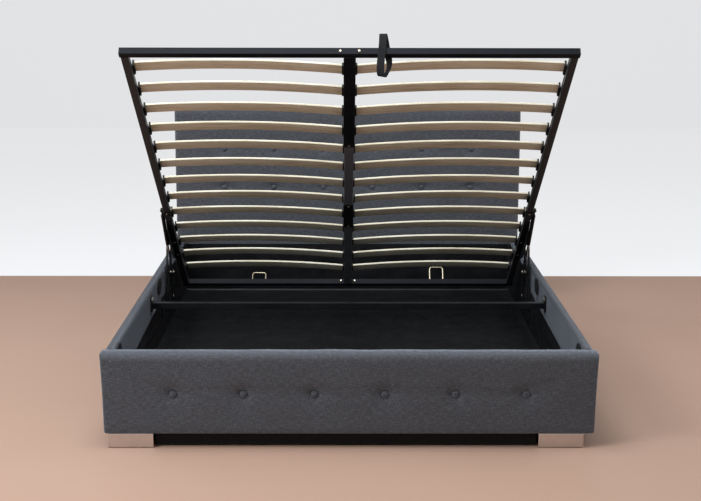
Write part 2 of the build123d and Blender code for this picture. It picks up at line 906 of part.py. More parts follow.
def centre_face(start):
    """Half width of what stands at the middle of the platform beside a slat."""
    end = start + slat_width
    beside_channel = start < channel_end
    beside_sleeve = start < sleeve_end and end > sleeve_start
    return centre_tube_width / 2 + (channel_gap + channel_wall if beside_channel or beside_sleeve else 0)


def slat_span(start):
    """X of the two ends of a right-hand slat."""
    return centre_face(start) + holder_wall + slat_end_gap, tube_face - tube - holder_wall - slat_end_gap


def slat(start):
    """A bent wooden slat, bowed towards the mattress and higher at the side tube."""
    low, high = slat_span(start)
    middle = (low + high) / 2
    crown = slat_bow + slat_rise / 2
    top = slat_thickness
    with BuildSketch(Plane.XZ) as section:
        with BuildLine():
            ThreePointArc((low, 0), (middle, crown), (high, slat_rise))
            Line((high, slat_rise), (high, slat_rise + top))
            ThreePointArc((high, slat_rise + top), (middle, crown + top), (low, top))
            Line((low, top), (low, 0))
        make_face()
    return extrude(section.sketch, -slat_width).moved(Location((0, start, slat_seat)))


def holder(start, side):
    """The plastic cup that holds one end of a slat; side is 1 at the side tube, -1 at the centre."""
    low, high = slat_span(start)
    reach = side_holder_reach if side > 0 else centre_holder_reach
    end_height = slat_seat + (slat_rise if side > 0 else 0)
    slope = (4 * slat_bow - side * slat_rise) / (high - low)
    wall_face = high + slat_end_gap + holder_wall if side > 0 else low - slat_end_gap - holder_wall
    mouth = wall_face - side * reach
    y_range = (start - holder_wall - soft_gap, start + slat_width + soft_gap + holder_wall)
    top = end_height + slat_thickness + reach * slope + soft_gap
    bottom = min(end_height - soft_gap - holder_wall, tube - holder_grip)
    cup = block(sorted((wall_face, mouth)), y_range, (bottom, top + holder_wall))
    pocket_end = wall_face - side * holder_wall
    return cup - block(sorted((pocket_end, mouth - side * overrun)),
                       (start - soft_gap, start + slat_width + soft_gap), (end_height - soft_gap, top))


def slats():
    return group([slat(start) for start in slat_starts()])


def holders():
    return group([both_sides(holder(start, side)) for start in slat_starts() for side in (-1, 1)])


def mattress_stop(height, lean):
    """A wire hoop that stands on the head rail and leans by an angle towards the head."""
    half = stop_width / 2
    corners = [(-half, 0, 0), (-half, 0, height), (half, 0, height), (half, 0, 0)]
    path = FilletPolyline(*corners, radius=stop_bend)
    start = Plane(origin=(-half, 0, 0), z_dir=(0, 0, 1))
    hoop = sweep(start * Circle(stop_wire), path=path)
    return hoop.moved(Location((0, 0, 0), (-lean, 0, 0)))


def mattress_stops():
    """Two wire hoops; the left one is lower and leans back."""
    seat = tube + stop_wire * sin(radians(left_stop_lean))
    middle = platform_length - tube / 2
    right = mattress_stop(stop_height, 0).moved(Location((stop_place, middle, tube)))
    left = mattress_stop(left_stop_height, left_stop_lean).moved(Location((-stop_place, middle, seat)))
    return group([right, left])


def pull_strap():
    """A webbing loop round the foot rail, long above it and below it."""
    front, back = -soft_gap, tube + soft_gap
    with BuildSketch(Plane.YZ) as outline:
        with BuildLine():
            upper = (tube / 2 - strap_bend, tube + strap_above)
            Polyline((front, tube), upper, (tube - upper[0], upper[1]), (back, tube), (back, 0),
                     (tube / 2 + strap_bend, -strap_below), (tube / 2 - strap_bend, -strap_below), (front, 0),
                     (front, tube))
        make_face()
    outer = offset(outline.sketch, strap_thickness)
    loop = extrude(outer - outline.sketch, strap_width / 2, both=True)
    return loop.moved(Location((strap_place, 0, 0)))


def strut_bracket():
    """The steel saddle round the right side tube that the strut's upper pin stands against."""
    y_range = (strut_place - strut_plate_half, strut_place + strut_plate_half)
    inner = tube_face - tube
    saddle = block((inner - mount_plate, plate_face), y_range, (-mount_plate, tube))
    return saddle - block((inner, tube_face), y_range, (0, tube + overrun))


def arm_gusset():
    """The flange under the side tube and the web that hangs from it between strut and arms."""
    front = front_arm_place - arm_plate_margin
    back = rear_arm_place + arm_plate_margin
    outline = Polyline((front - gusset_run, 0), (front, -gusset_depth),
                       (rear_arm_place - gusset_foot, -gusset_depth), (back, 0), close=True)
    web = extrude(Plane.YZ * make_face(outline), mount_plate)
    web = web.moved(Location((tube_face - mount_plate, 0, 0)))
    return web + block((tube_face - tube, tube_face), (front - gusset_run, back), (-mount_plate, 0))


def arm_bracket():
    """The plate on the right side tube that carries the arms, its gusset and the front arm's pin."""
    y_range = (front_arm_place - arm_plate_margin, rear_arm_place + arm_plate_margin)
    plate = block((tube_face, plate_face), y_range, (-mount_plate, tube)) + arm_gusset()
    plate += rod_along_x(arm_pin_radius, (plate_face, arm_outer), front_arm_place, arm_pin_height)
    collar = rod_along_x(arm_pin_head, (plate_face, arm_inner - soft_gap), front_arm_place, arm_pin_height)
    cap = rod_along_x(arm_pin_head, (arm_outer + pin_gap, arm_outer + pin_head_height), front_arm_place,
                      arm_pin_height)
    end = arm_outer + pin_head_height
    return plate + collar + cap + rod_along_x(arm_pin_radius, (arm_outer, end), front_arm_place, arm_pin_height)


def frame_bolt(x, y, z, turn):
    """A round-headed bolt; turn swings its head from up to the side that it faces."""
    head = Cylinder(frame_bolt_radius, bolt_head_height / 2, align=(Align.CENTER, Align.CENTER, Align.MIN))
    rim = head.edges().sort_by(Axis.Z)[-1]
    return fillet(rim, bolt_head_height / 4).moved(Location((x, y, z), (turn, 0, 0)))


def platform_bolts():
    """Bolt heads at the middle of the cross tubes, on the channels and on the side brackets."""
    heads = []
    for side in (-1, 1):
        heads.append(frame_bolt(side * frame_bolt_place, 0, tube / 2, 90))
        heads.append(frame_bolt(side * frame_bolt_place, platform_length - tube, head_bolt_height, 90))
    saddle = tube_face - tube - mount_plate
    head = rod_along_x(strut_pin_head, (saddle - pin_head_height, saddle), strut_place, arm_pin_height)
    heads.append(both_sides(head))
    under = -channel_gap - channel_wall
    near = 3 * frame_bolt_radius
    for y in (channel_end - near, sleeve_start + near, sleeve_end - near):
        heads.append(frame_bolt(0, y, under, 180))
    for y in (strut_place, front_arm_place, rear_arm_place):
        for side in (-1, 1):
            heads.append(frame_bolt(side * (tube_face - tube / 2), y, -mount_plate, 180))
    return group(heads)


def save(node, shape):
    """Writes one sub-part."""
    export_step(shape, f"parts/{node}.step")


os.makedirs("parts", exist_ok=True)

pairs = {
    "rail_board": rail_board(),
    "rail_cover": rail_cover(),
    "base_plate": base_plate(),
    "front_arm": front_arm(),
    "rear_arm": rear_arm(),
    "strut_rod": strut_rod(),
    "strut_cylinder": strut_cylinder(),
    "side_tube": on_platform(side_tube()),
    "arm_bracket": on_platform(arm_bracket()),
    "slats": on_platform(slats()),
}
for name, shape in pairs.items():
    save(f"right_{name}", shape)
    save(f"left_{name}", other_side(shape))

singles = {
    "footboard_board": footboard_board(),
    "footboard_cover": footboard_cover(),
    "footboard_buttons": group([button(x, foot_face, footboard_button_height) for x in button_places()]),
    "headboard_board": headboard_board(),
    "headboard_battens": headboard_battens(),
    "headboard_cover": headboard_cover(),
    "headboard_buttons": group([button(x, head_inside, z) for z in headboard_button_rows
                                for x in button_places()]),
    "headboard_back_cloth": headboard_back(),
    "corner_brackets": corner_brackets(),
    "corner_bolts": corner_bolts(),
    "front_feet": front_feet(),
    "rear_feet": both_sides(rear_foot()),
    "front_beam": front_beam(),
    "rear_beam": rear_beam(),
    "centre_beam": centre_beam(),
    "centre_feet": centre_feet(),
    "side_battens": both_sides(rail_batten()),
    "floor_panels": both_sides(floor_panel()),
    "storage_lining": storage_lining(),
    "crossbar": crossbar(),
    "crossbar_brackets": both_sides(crossbar_bracket()),
    "rub_pads": rub_pads(),
    "base_screws": base_screws(),
    "base_pivots": base_pivots(),
    "strut_lower_pins": both_sides(strut_lower_pin()),
    "strut_upper_pins": both_sides(strut_upper_pin()),
    "rear_arm_pins": both_sides(rear_arm_pin()),
    "foot_rail": on_platform(foot_rail()),
    "head_rail": on_platform(head_rail()),
    "end_caps": on_platform(end_caps()),
    "centre_tube_front": on_platform(centre_tube_front()),
    "centre_tube_rear": on_platform(centre_tube_rear()),
    "centre_channel": on_platform(centre_channel()),
    "centre_sleeve": on_platform(centre_sleeve()),
    "slat_holders": on_platform(holders()),
    "mattress_stops": on_platform(mattress_stops()),
    "pull_strap": on_platform(pull_strap()),
    "strut_brackets": on_platform(both_sides(strut_bracket())),
    "platform_bolts": on_platform(platform_bolts()),
}
for name, shape in singles.items():
    save(name, shape)

print("front pivot", front_pivot, "rear pivot", rear_pivot)
print("front pin", front_pin, "rear pin", rear_pin)
print("strut lower", strut_lower, "upper", strut_upper)
print("swings", front_swing, rear_swing, strut_swing)
print("strut open", strut_open, "closed", strut_closed, "bearing", bearing(strut_lower, strut_upper))
print("foot face", foot_face, "layers", base_plate_inner, arm_inner, strut_x)
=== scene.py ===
# %% [markdown]
# An upholstered bed with its slatted platform lifted over a storage box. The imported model
# gives every steel tube, arm, plate and board at its true place. This lesson adds what a
# solid model leaves out: padded panels with buttons, cloth, webbing, bent wood and finishes.
# Everything is in metres, with the floor at zero and the footboard towards -Y.

# %% Load the frame
import json
from math import atan2, cos, exp, hypot, pi, radians, sin

import bpy
from mathutils import Matrix, Vector, noise


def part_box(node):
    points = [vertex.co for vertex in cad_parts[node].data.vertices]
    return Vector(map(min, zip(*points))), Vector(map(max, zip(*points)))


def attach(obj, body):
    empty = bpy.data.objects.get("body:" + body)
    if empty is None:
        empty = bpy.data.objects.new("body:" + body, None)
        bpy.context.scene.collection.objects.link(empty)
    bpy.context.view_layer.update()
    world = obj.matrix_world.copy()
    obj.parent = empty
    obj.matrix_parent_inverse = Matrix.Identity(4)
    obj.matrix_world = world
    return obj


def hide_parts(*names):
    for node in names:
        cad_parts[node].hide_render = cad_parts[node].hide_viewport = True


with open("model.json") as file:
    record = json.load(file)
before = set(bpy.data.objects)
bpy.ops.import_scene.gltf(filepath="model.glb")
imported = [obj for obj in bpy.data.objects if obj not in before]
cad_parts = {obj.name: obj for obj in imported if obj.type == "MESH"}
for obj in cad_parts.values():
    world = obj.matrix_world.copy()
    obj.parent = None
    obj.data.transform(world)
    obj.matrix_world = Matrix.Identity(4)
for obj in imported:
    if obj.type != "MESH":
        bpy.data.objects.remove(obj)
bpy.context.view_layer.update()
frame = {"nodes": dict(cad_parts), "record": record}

nodes = frame["nodes"]

# %% [markdown]
# Operators act on whatever is selected, so each step starts by selecting nothing. These few
# helpers add a grid, pick faces by their place, apply a modifier, and copy or join pieces. A
# finished piece keeps its object at the origin, so its coordinates are the bed's own.

# %% Helpers for modelling
def clear_selection():
    if bpy.context.object and bpy.context.object.mode != "OBJECT":
        bpy.ops.object.mode_set(mode="OBJECT")
    for item in list(bpy.context.selected_objects):
        item.select_set(False)


def make_active(piece):
    clear_selection()
    piece.select_set(True)
    bpy.context.view_layer.objects.active = piece


def edit_all():
    """Enters edit mode on the active piece with everything selected."""
    bpy.ops.object.mode_set(mode="EDIT")
    bpy.ops.mesh.select_all(action="SELECT")


def leave_edit():
    bpy.ops.object.mode_set(mode="OBJECT")


def pick_faces(piece, test):
    """Selects the faces whose centre and normal pass the test, and enters edit mode."""
    make_active(piece)
    bpy.ops.object.mode_set(mode="EDIT")
    bpy.ops.mesh.select_mode(type="FACE")
    bpy.ops.mesh.select_all(action="DESELECT")
    leave_edit()
    for face in piece.data.polygons:
        face.select = test(face.center, face.normal)
    bpy.ops.object.mode_set(mode="EDIT")


def extrude(vector, steps=1):
    """Extrudes the picked faces by a vector, in equal steps."""
    for _ in range(steps):
        bpy.ops.mesh.extrude_region_move(TRANSFORM_OT_translate={"value": Vector(vector) / steps})


def cut(piece, point, normal):
    """Adds a ring of edges where a plane crosses the piece."""
    make_active(piece)
    edit_all()
    bpy.ops.mesh.bisect(plane_co=point, plane_no=normal)
    leave_edit()


def apply_modifier(piece, kind, **settings):
    make_active(piece)
    modifier = piece.modifiers.new(kind.title(), kind)
    for key, value in settings.items():
        setattr(modifier, key, value)
    bpy.ops.object.modifier_apply(modifier=modifier.name)


def fix_normals(piece):
    make_active(piece)
    edit_all()
    bpy.ops.mesh.remove_doubles(threshold=0.00001)
    bpy.ops.mesh.normals_make_consistent(inside=False)
    leave_edit()


def smooth(piece, angle):
    make_active(piece)
    bpy.ops.object.shade_smooth_by_angle(angle=radians(angle))


def quarter_turn(axis):
    bpy.ops.transform.rotate(value=pi / 2, orient_axis=axis, center_override=(0, 0, 0))


def grid(name, across, up, wide, tall):
    """A flat grid of cells about the origin, left in edit mode with everything selected."""
    clear_selection()
    bpy.ops.mesh.primitive_grid_add(x_subdivisions=across, y_subdivisions=up, size=1)
    piece = bpy.context.object
    piece.name = name
    edit_all()
    bpy.ops.transform.resize(value=(wide, tall, 1))
    return piece


def wall_of_quads(name, low, high, cell):
    """An upright grid in the XZ plane between two corners, cut into cells."""
    wide, tall = high[0] - low[0], high[2] - low[2]
    piece = grid(name, max(1, round(wide / cell)), max(1, round(tall / cell)), wide, tall)
    quarter_turn("X")
    bpy.ops.transform.translate(value=((low[0] + high[0]) / 2, low[1], (low[2] + high[2]) / 2))
    leave_edit()
    return piece


def duplicate(piece):
    """A copy with a mesh of its own."""
    copy = piece.copy()
    copy.data = piece.data.copy()
    bpy.context.collection.objects.link(copy)
    return copy


def join(pieces, name):
    clear_selection()
    for piece in pieces:
        piece.select_set(True)
    bpy.context.view_layer.objects.active = pieces[0]
    bpy.ops.object.join()
    joined = bpy.context.object
    joined.name = name
    return joined


def count(piece):
    print(piece.name, len(piece.data.polygons), "faces")


# %% [markdown]
# The panels are foam under a tight fabric, so no edge is sharp. Points near an edge of the
# block are pulled onto a quarter circle, which rounds the block without changing its size.

# %% Rounding a block of quads
def round_edges(piece, low, high, radii):
    """Moves points near the block's edges onto round ones; each axis has a radius at each side."""
    for vertex in piece.data.vertices:
        inner, share, reach = vertex.co.copy(), Vector((0, 0, 0)), [0, 0, 0]
        for axis in range(3):
            for side, limit in ((0, low[axis]), (1, high[axis])):
                radius = radii[axis][side]
                depth = radius - abs(vertex.co[axis] - limit)
                if radius and depth > 1e-6:
                    reach[axis] = radius if side else -radius
                    inner[axis] = limit - reach[axis]
                    share[axis] = min(1.0, depth / radius)
        if sum(value > 0 for value in share) > 1:
            share = share.normalized() * max(share)
            vertex.co = inner + Vector([share[axis] * reach[axis] for axis in range(3)])


# %% [markdown]
# Each button is pulled through the foam to the board. That leaves a wide soft dimple, a tight
# hollow right round the button, and a short crease in the fabric to both sides. The wide dimple
# is pressed into the coarse grid and the tight part into the finer mesh that comes later.

# %% Shape of a tuft
button_pitch = 0.233
button_columns = [(number - 2.5) * button_pitch for number in range(6)]
dimple_depth, dimple_radius = 0.006, 0.036
hollow_depth, hollow_radius = 0.0076, 0.0210
crease_depth, crease_length = 0.0058, 0.038
slope_above, slope_below = 0.013, 0.008


def wide_dimple(across, up):
    return dimple_depth * exp(-(hypot(across, up) / dimple_radius) ** 2)


def tight_hollow(across, up):
    """The hollow at the button and the crease beside it, which is steeper below than above."""
    hollow = hollow_depth * exp(-(hypot(across, up) / hollow_radius) ** 2)
    slope = slope_above if up > 0 else slope_below
    crease = crease_depth * exp(-abs(up) / slope) * exp(-abs(across) / crease_length)
    return hollow + crease


def tufted_depth(x, z, rows, shape=wide_dimple):
    return max(shape(x - column, z - row) for column in button_columns for row in rows)


def soft_wave(x, y, z, size, height):
    """A gentle unevenness of the foam, the same on each run."""
    return height * noise.noise(Vector((x / size, y / size, z / size)))


print("depth at a button", dimple_depth + tight_hollow(0, 0))

# %% [markdown]
# Padded fabric is a good case for the cloth solver: held where it is stapled and buttoned, it
# swells a little in between and wrinkles by itself. The swell is capped so that the panel keeps
# its size.

# %% Letting the fabric swell
foam_pressure, swell_frames = 2.5, 14
held_margin, button_share = 0.02, 0.7


def fastened(low, high, rows, below):
    """A test for the points that are held: all but the front, low down, the sides, the buttons."""
    def held(point):
        return (point.y > low.y + held_margin or point.z < below
                or abs(point.x) > high.x - held_margin
                or tufted_depth(point.x, point.z, rows) > button_share * dimple_depth)
    return held


def swell(piece, held, cap):
    """Runs a short cloth simulation with some points held, and caps how far the rest moves."""
    rest = [vertex.co.copy() for vertex in piece.data.vertices]
    group = piece.vertex_groups.new(name="held")
    group.add([i for i, point in enumerate(rest) if held(point)], 1.0, "REPLACE")
    make_active(piece)
    modifier = piece.modifiers.new("Cloth", "CLOTH")
    cloth = modifier.settings
    cloth.use_pressure = True
    cloth.uniform_pressure_force = foam_pressure
    cloth.vertex_group_mass = "held"
    cloth.quality = 4
    cloth.mass = 0.4
    cloth.tension_stiffness = cloth.compression_stiffness = 25
    cloth.shear_stiffness = 10
    cloth.bending_stiffness = 2
    cloth.effector_weights.gravity = 0
    modifier.point_cache.frame_start = 1
    modifier.point_cache.frame_end = swell_frames
    for step in range(1, swell_frames + 1):
        bpy.context.scene.frame_set(step)
    bpy.ops.object.modifier_apply(modifier=modifier.name)
    for vertex, before in zip(piece.data.vertices, rest):
        move = vertex.co - before
        if move.length > cap:
            vertex.co = before + move.normalized() * cap
    piece.vertex_groups.clear()
    bpy.context.scene.frame_set(1)


# %% [markdown]
# The footboard is a board in a folded cover: foam and fabric in front, a thin layer inside, and
# open below. A grid is the front, extruding it backwards makes the block, and the slot for the
# board is extruded up into it from below.

# %% Footboard block with a slot for its board
foot_low, foot_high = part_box("footboard_cover")
board_low, board_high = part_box("footboard_board")
slot_gap = 0.0004


def padded_end(name, low, high, cell, depth_steps):
    """A block of quads whose front face is a fine grid."""
    panel = wall_of_quads(name, low, high, cell)
    pick_faces(panel, lambda centre, normal: True)
    extrude((0, high[1] - low[1], 0), depth_steps)
    leave_edit()
    fix_normals(panel)
    return panel


footboard = padded_end("footboard_padding", foot_low, foot_high, 0.0078, 6)
for x in (board_low.x - slot_gap, board_high.x + slot_gap):
    cut(footboard, (x, 0, 0), (1, 0, 0))
for y in (board_low.y - slot_gap, board_high.y + slot_gap):
    cut(footboard, (0, y, 0), (0, 1, 0))


def over_the_board(centre, normal):
    return (normal.z < -0.9 and board_low.x - slot_gap < centre.x < board_high.x + slot_gap
            and board_low.y - slot_gap < centre.y < board_high.y + slot_gap)


pick_faces(footboard, over_the_board)
extrude((0, 0, board_high.z - foot_low.z + slot_gap))
leave_edit()
count(footboard)

# %% [markdown]
# The block is now rounded, tufted and drawn in a little towards the floor. The wide dimples go
# into the coarse front before the fabric swells, and the tight hollows into the finer mesh
# after it, because smoothing would wash them out. The points of the slot are kept aside and
# put back, so that the board still fits.

# %% Footboard in its final shape
foot_row = (0.185,)
foot_half_low, foot_flare, flare_curve = 0.8145, 0.0077, 1.8
foot_roll = ((0, 0), (0.041, 0.004), (0, 0.026))
foot_edges = ((0.011, 0.011), (0.006, 0.003), (0.003, 0.011))
front_zone, hollow_zone, seam_pull = 0.02, 0.015, 0.0015


def keep_points(panel, test):
    """The places of the points that pass a test, by their numbers."""
    return {vertex.index: vertex.co.copy() for vertex in panel.data.vertices if test(vertex.co)}


def put_back(panel, kept):
    for index, place in kept.items():
        panel.data.vertices[index].co = place


def in_slot(point):
    return (abs(point.x) <= board_high.x + 2 * slot_gap and point.z < board_high.z + 2 * slot_gap
            and board_low.y - 2 * slot_gap < point.y < board_high.y + 2 * slot_gap)


def shape_front(panel, rows, front, kept, wave):
    """Presses the tufts into the front face and makes the foam a little uneven."""
    for vertex in panel.data.vertices:
        point = vertex.co
        if vertex.index in kept or point.y > front + front_zone:
            continue
        fade = min(1.0, max(0.0, (front + front_zone - point.y) / front_zone))
        depth = tufted_depth(point.x, point.z, rows)
        depth += seam_pull + soft_wave(point.x, 0, point.z, 0.14, wave)
        point.y += fade * depth


def press_hollows(panel, rows, front):
    """Adds the tight hollows to the finer mesh, on the front face only."""
    for vertex in panel.data.vertices:
        if vertex.co.y < front + hollow_zone:
            vertex.co.y += tufted_depth(vertex.co.x, vertex.co.z, rows, tight_hollow)


kept = keep_points(footboard, in_slot)
round_edges(footboard, foot_low, foot_high, foot_roll)
round_edges(footboard, foot_low, foot_high, foot_edges)
shape_front(footboard, foot_row, foot_low.y, kept, wave=0.0012)
for vertex in footboard.data.vertices:
    rise = (vertex.co.z - foot_low.z) / (foot_high.z - foot_low.z)
    if vertex.index not in kept:
        vertex.co.x *= (foot_half_low + foot_flare * rise ** flare_curve) / foot_high.x
        if rise > 0.9:
            vertex.co.z -= 0.0012 + soft_wave(vertex.co.x, 0, 0, 0.11, 0.0012)
put_back(footboard, kept)
swell(footboard, fastened(foot_low, foot_high, foot_row, foot_low.z + 0.004), cap=0.0009)
apply_modifier(footboard, "SUBSURF", levels=1, render_levels=1)
press_hollows(footboard, foot_row, foot_low.y)
smooth(footboard, 50)
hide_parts("footboard_cover")
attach(footboard, "bed_frame")
count(footboard)

# %% [markdown]
# The headboard is made in the same way, with two rows of buttons. Its foam wraps round the
# sides and the top of a wooden frame, so its back is pressed in by the depth of that frame.
# Below the tops of the side rails its fabric is held, because the box's lining stands there.

# %% Headboard
rail_low, rail_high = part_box("right_rail_cover")
head_low, head_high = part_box("headboard_cover")
core_low, core_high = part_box("headboard_board")
head_rows = (0.562, 0.745)
head_edges = ((0.016, 0.016), (0.022, 0.012), (0, 0.020))

headboard = padded_end("headboard_padding", head_low, head_high, 0.012, 6)
for x in (core_low.x - slot_gap, core_high.x + slot_gap):
    cut(headboard, (x, 0, 0), (1, 0, 0))
cut(headboard, (0, 0, core_high.z + slot_gap), (0, 0, 1))


def over_the_core(centre, normal):
    return (normal.y > 0.9 and abs(centre.x) < core_high.x + slot_gap
            and centre.z < core_high.z + slot_gap)


def round_the_core(point):
    return (abs(point.x) < core_high.x + 2 * slot_gap and point.z < core_high.z + 2 * slot_gap
            and point.y > core_low.y - 2 * slot_gap)


pick_faces(headboard, over_the_core)
extrude((0, core_low.y - slot_gap - head_high.y, 0))
leave_edit()
kept = keep_points(headboard, round_the_core)
round_edges(headboard, head_low, head_high, head_edges)
shape_front(headboard, head_rows, head_low.y, kept, wave=0.0022)
put_back(headboard, kept)
swell(headboard, fastened(head_low, head_high, head_rows, rail_high.z), cap=0.0025)
apply_modifier(headboard, "SUBSURF", levels=1, render_levels=1)
press_hollows(headboard, head_rows, head_low.y)
smooth(headboard, 50)
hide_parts("headboard_cover")
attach(headboard, "bed_frame")
count(headboard)

# %% [markdown]
# A side rail is a board with foam outside, a rounded top and a short fabric flap inside. Its
# outer face is a grid. Extruding it inwards gives the slab, the slab's top edge is extruded over
# the board, and the flap is extruded down again on the inner side. Behind the lifting mechanism
# the flap is pulled into deeper folds.

# %% Side rails
rail_board_low, rail_board_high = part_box("right_rail_board")
flap_end = 0.200
flap_face = 0.0008
mechanism_front, deep_folds, flat_folds = 0.12, 0.0070, 0.0018
ridge = rail_low.x + 0.012
inner_roll, outer_roll = (0.012, 0.010), (rail_high.x - ridge, 0.022)


def rail_padding(name):
    rail = grid(name, 170, 28, rail_high.y - rail_low.y, rail_high.z - rail_low.z)
    quarter_turn("X")
    quarter_turn("Z")
    bpy.ops.transform.translate(value=(rail_high.x, 0, (rail_low.z + rail_high.z) / 2))
    bpy.ops.transform.translate(value=(0, (rail_low.y + rail_high.y) / 2, 0))
    extrude((rail_board_high.x + slot_gap - rail_high.x, 0, 0), 2)
    leave_edit()
    fix_normals(rail)
    lid = rail_board_high.z + slot_gap
    cut(rail, (0, 0, lid), (0, 0, 1))
    pick_faces(rail, lambda c, n: n.x < -0.9 and c.z > lid)
    extrude((rail_board_low.x - slot_gap - rail_board_high.x - slot_gap, 0, 0), 3)
    extrude((rail_low.x - rail_board_low.x + slot_gap, 0, 0), 1)
    leave_edit()
    pick_faces(rail, lambda c, n: n.z < -0.9 and c.x < rail_board_low.x - slot_gap and c.z > 0.3)
    extrude((0, 0, flap_end - lid), 12)
    leave_edit()
    return rail


def in_rail_slot(point):
    return (rail_board_low.x - 0.002 < point.x < rail_board_high.x + 0.001
            and point.z < rail_board_high.z + 0.001)


def shape_rail(rail, kept):
    """Rolls the top over to both sides, makes the foam uneven and folds the inner flap."""
    for vertex in rail.data.vertices:
        if vertex.index in kept:
            continue
        point = vertex.co
        half, crown = inner_roll if point.x < ridge else outer_roll
        top = rail_high.z - crown
        if point.z > top:
            side = (point.x - ridge) / half
            lift = (point.z - top) / crown
            reach = hypot(side, lift)
            if reach > 1:
                point.x = ridge + side / reach * half
                point.z = top + lift / reach * crown
        if point.x > ridge and point.z < top:
            point.x -= 0.0012 + soft_wave(0, point.y, point.z, 0.16, 0.0012)
        if point.z >= top:
            point.z -= 0.0010 + soft_wave(0, point.y, 0, 0.12, 0.0010)
        if point.x < rail_low.x + 0.001:
            fold = max(0.0, soft_wave(0, point.y * 2.2, 0.3, 0.11, 1.0))
            pulled = deep_folds if point.y > mechanism_front else flat_folds
            point.x += flap_face + pulled * fold


rail = rail_padding("right_rail_padding")
kept = keep_points(rail, in_rail_slot)
shape_rail(rail, kept)
put_back(rail, kept)
fix_normals(rail)
smooth(rail, 50)
print("rail folds", deep_folds, "m deep behind the mechanism,", flat_folds, "m elsewhere")

# %% [markdown]
# The left rail is the right one mirrored. A negative scale turns a shape inside out, so its
# normals are made to point outwards again.

# %% The left rail
left_rail = duplicate(rail)
left_rail.name = "left_rail_padding"
make_active(left_rail)
edit_all()
bpy.ops.transform.resize(value=(-1, 1, 1), center_override=(0, 0, 0))
leave_edit()
fix_normals(left_rail)
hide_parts("right_rail_cover")
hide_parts("left_rail_cover")
for piece in (rail, left_rail):
    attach(piece, "bed_frame")
    count(piece)

# %% [markdown]
# A covered button is a shallow metal dome with the fabric gathered under its rim. A flattened
# sphere with a pinched rim is enough at this size. It is modelled once, and each copy gets a
# mesh of its own before the copies are joined.

# %% Buttons
button_radius, button_flatness, button_seat = 0.011, 0.42, 0.0092
gathers = 14


def covered_button():
    clear_selection()
    bpy.ops.mesh.primitive_uv_sphere_add(segments=28, ring_count=14, radius=button_radius)
    button = bpy.context.object
    edit_all()
    quarter_turn("X")
    bpy.ops.transform.resize(value=(1, button_flatness, 1))
    leave_edit()
    for vertex in button.data.vertices:
        point = vertex.co
        reach = hypot(point.x, point.z) / button_radius
        if point.y > 0:
            gather = 1 + 0.05 * sin(gathers * atan2(point.z, point.x))
            point.x *= gather * (0.80 + 0.20 * (1 - reach))
            point.z *= gather * (0.80 + 0.20 * (1 - reach))
            point.y *= 1.6
        else:
            point.y *= 0.92 + 0.08 * cos(reach * pi)
    return button


def button_set(name, front, rows):
    """Copies one button to every place and joins the copies."""
    pattern = covered_button()
    copies = []
    for z in rows:
        for x in button_columns:
            copy = duplicate(pattern)
            copy.data.transform(Matrix.Translation((x, front + button_seat, z)))
            copies.append(copy)
    bpy.data.objects.remove(pattern)
    joined = join(copies, name)
    smooth(joined, 60)
    return joined


foot_buttons = button_set("footboard_covered_buttons", foot_low.y, foot_row)
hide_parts("footboard_buttons")
head_buttons = button_set("headboard_covered_buttons", head_low.y, head_rows)
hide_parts("headboard_buttons")
for piece in (foot_buttons, head_buttons):
    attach(piece, "bed_frame")
    count(piece)

# %% [markdown]
# The storage box is lined with one black non-woven cloth. It lies on the floor panels and goes
# up the walls, higher at the ends than at the sides. Beside the lifting mechanism the side walls
# climb to the height of the head end. It starts as a grid of the floor, its outer ring is
# extruded up as walls, and small moves of the points make the creases.

# %% Storage lining
lining_low, lining_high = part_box("storage_lining")
wall_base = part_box("floor_panels")[1].z + 0.0008
foot_wall, head_wall, side_wall_front, side_wall_back = 0.235, 0.290, 0.192, 0.226
climb_start, climb_run = 0.30, 0.10
wall_rings, raw_height = 12, 0.144
ridge_from, ridge_to, ridge_depth = -0.80, 0.09, 0.012


def wall_height(y):
    """Top edge of the cloth along the walls."""
    if y < lining_low.y + 0.01:
        return foot_wall
    if y > lining_high.y - 0.01:
        return head_wall
    if y < climb_start:
        share = (y - lining_low.y) / (climb_start - lining_low.y)
        return side_wall_front + (side_wall_back - side_wall_front) * share
    share = min(1.0, (y - climb_start) / climb_run)
    return side_wall_back + (head_wall - side_wall_back) * share


def cloth_tray():
    tray = grid("storage_box_cloth", 76, 100,
                2 * lining_high.x - 0.0006, lining_high.y - lining_low.y - 0.0006)
    bpy.ops.transform.translate(value=(0, (lining_low.y + lining_high.y) / 2, wall_base))
    bpy.ops.mesh.select_mode(type="EDGE")
    bpy.ops.mesh.select_all(action="DESELECT")
    bpy.ops.mesh.select_non_manifold()
    extrude((0, 0, raw_height), wall_rings)
    leave_edit()
    return tray


def side_slack(side, y, z):
    """How far a side wall stands off: loose at its foot, with one long ridge higher up."""
    loose = min(1.0, max(0.0, (0.134 - z) / 0.02))
    slack = loose * (0.004 + soft_wave(0, y, z, 0.07, 0.006))
    line = 0.152 - 0.03 * y + soft_wave(side, y, 0, 0.18, 0.016)
    if ridge_from < y < ridge_to:
        swing = sin(pi * (y - ridge_from) / (ridge_to - ridge_from))
        slack += ridge_depth * exp(-abs(z - line) / 0.007) * swing
    return max(0.0, slack)


def end_slack(x, z, rise):
    return 0.0012 + max(0.0, 0.0035 * (1 - rise) + soft_wave(x, 0, z, 0.09, 0.004))


def floor_crease(x, y):
    """Low creases all over the floor, and a rounded fold where it turns up into the walls."""
    edge = max(0.0, min(lining_high.x - abs(x), y - lining_low.y, lining_high.y - y))
    crease = max(0.0, 0.32 - abs(soft_wave(x, y, 0, 0.16, 1.0)))
    return 0.0045 * crease * min(1.0, edge / 0.03) + 0.012 * exp(-edge / 0.018)


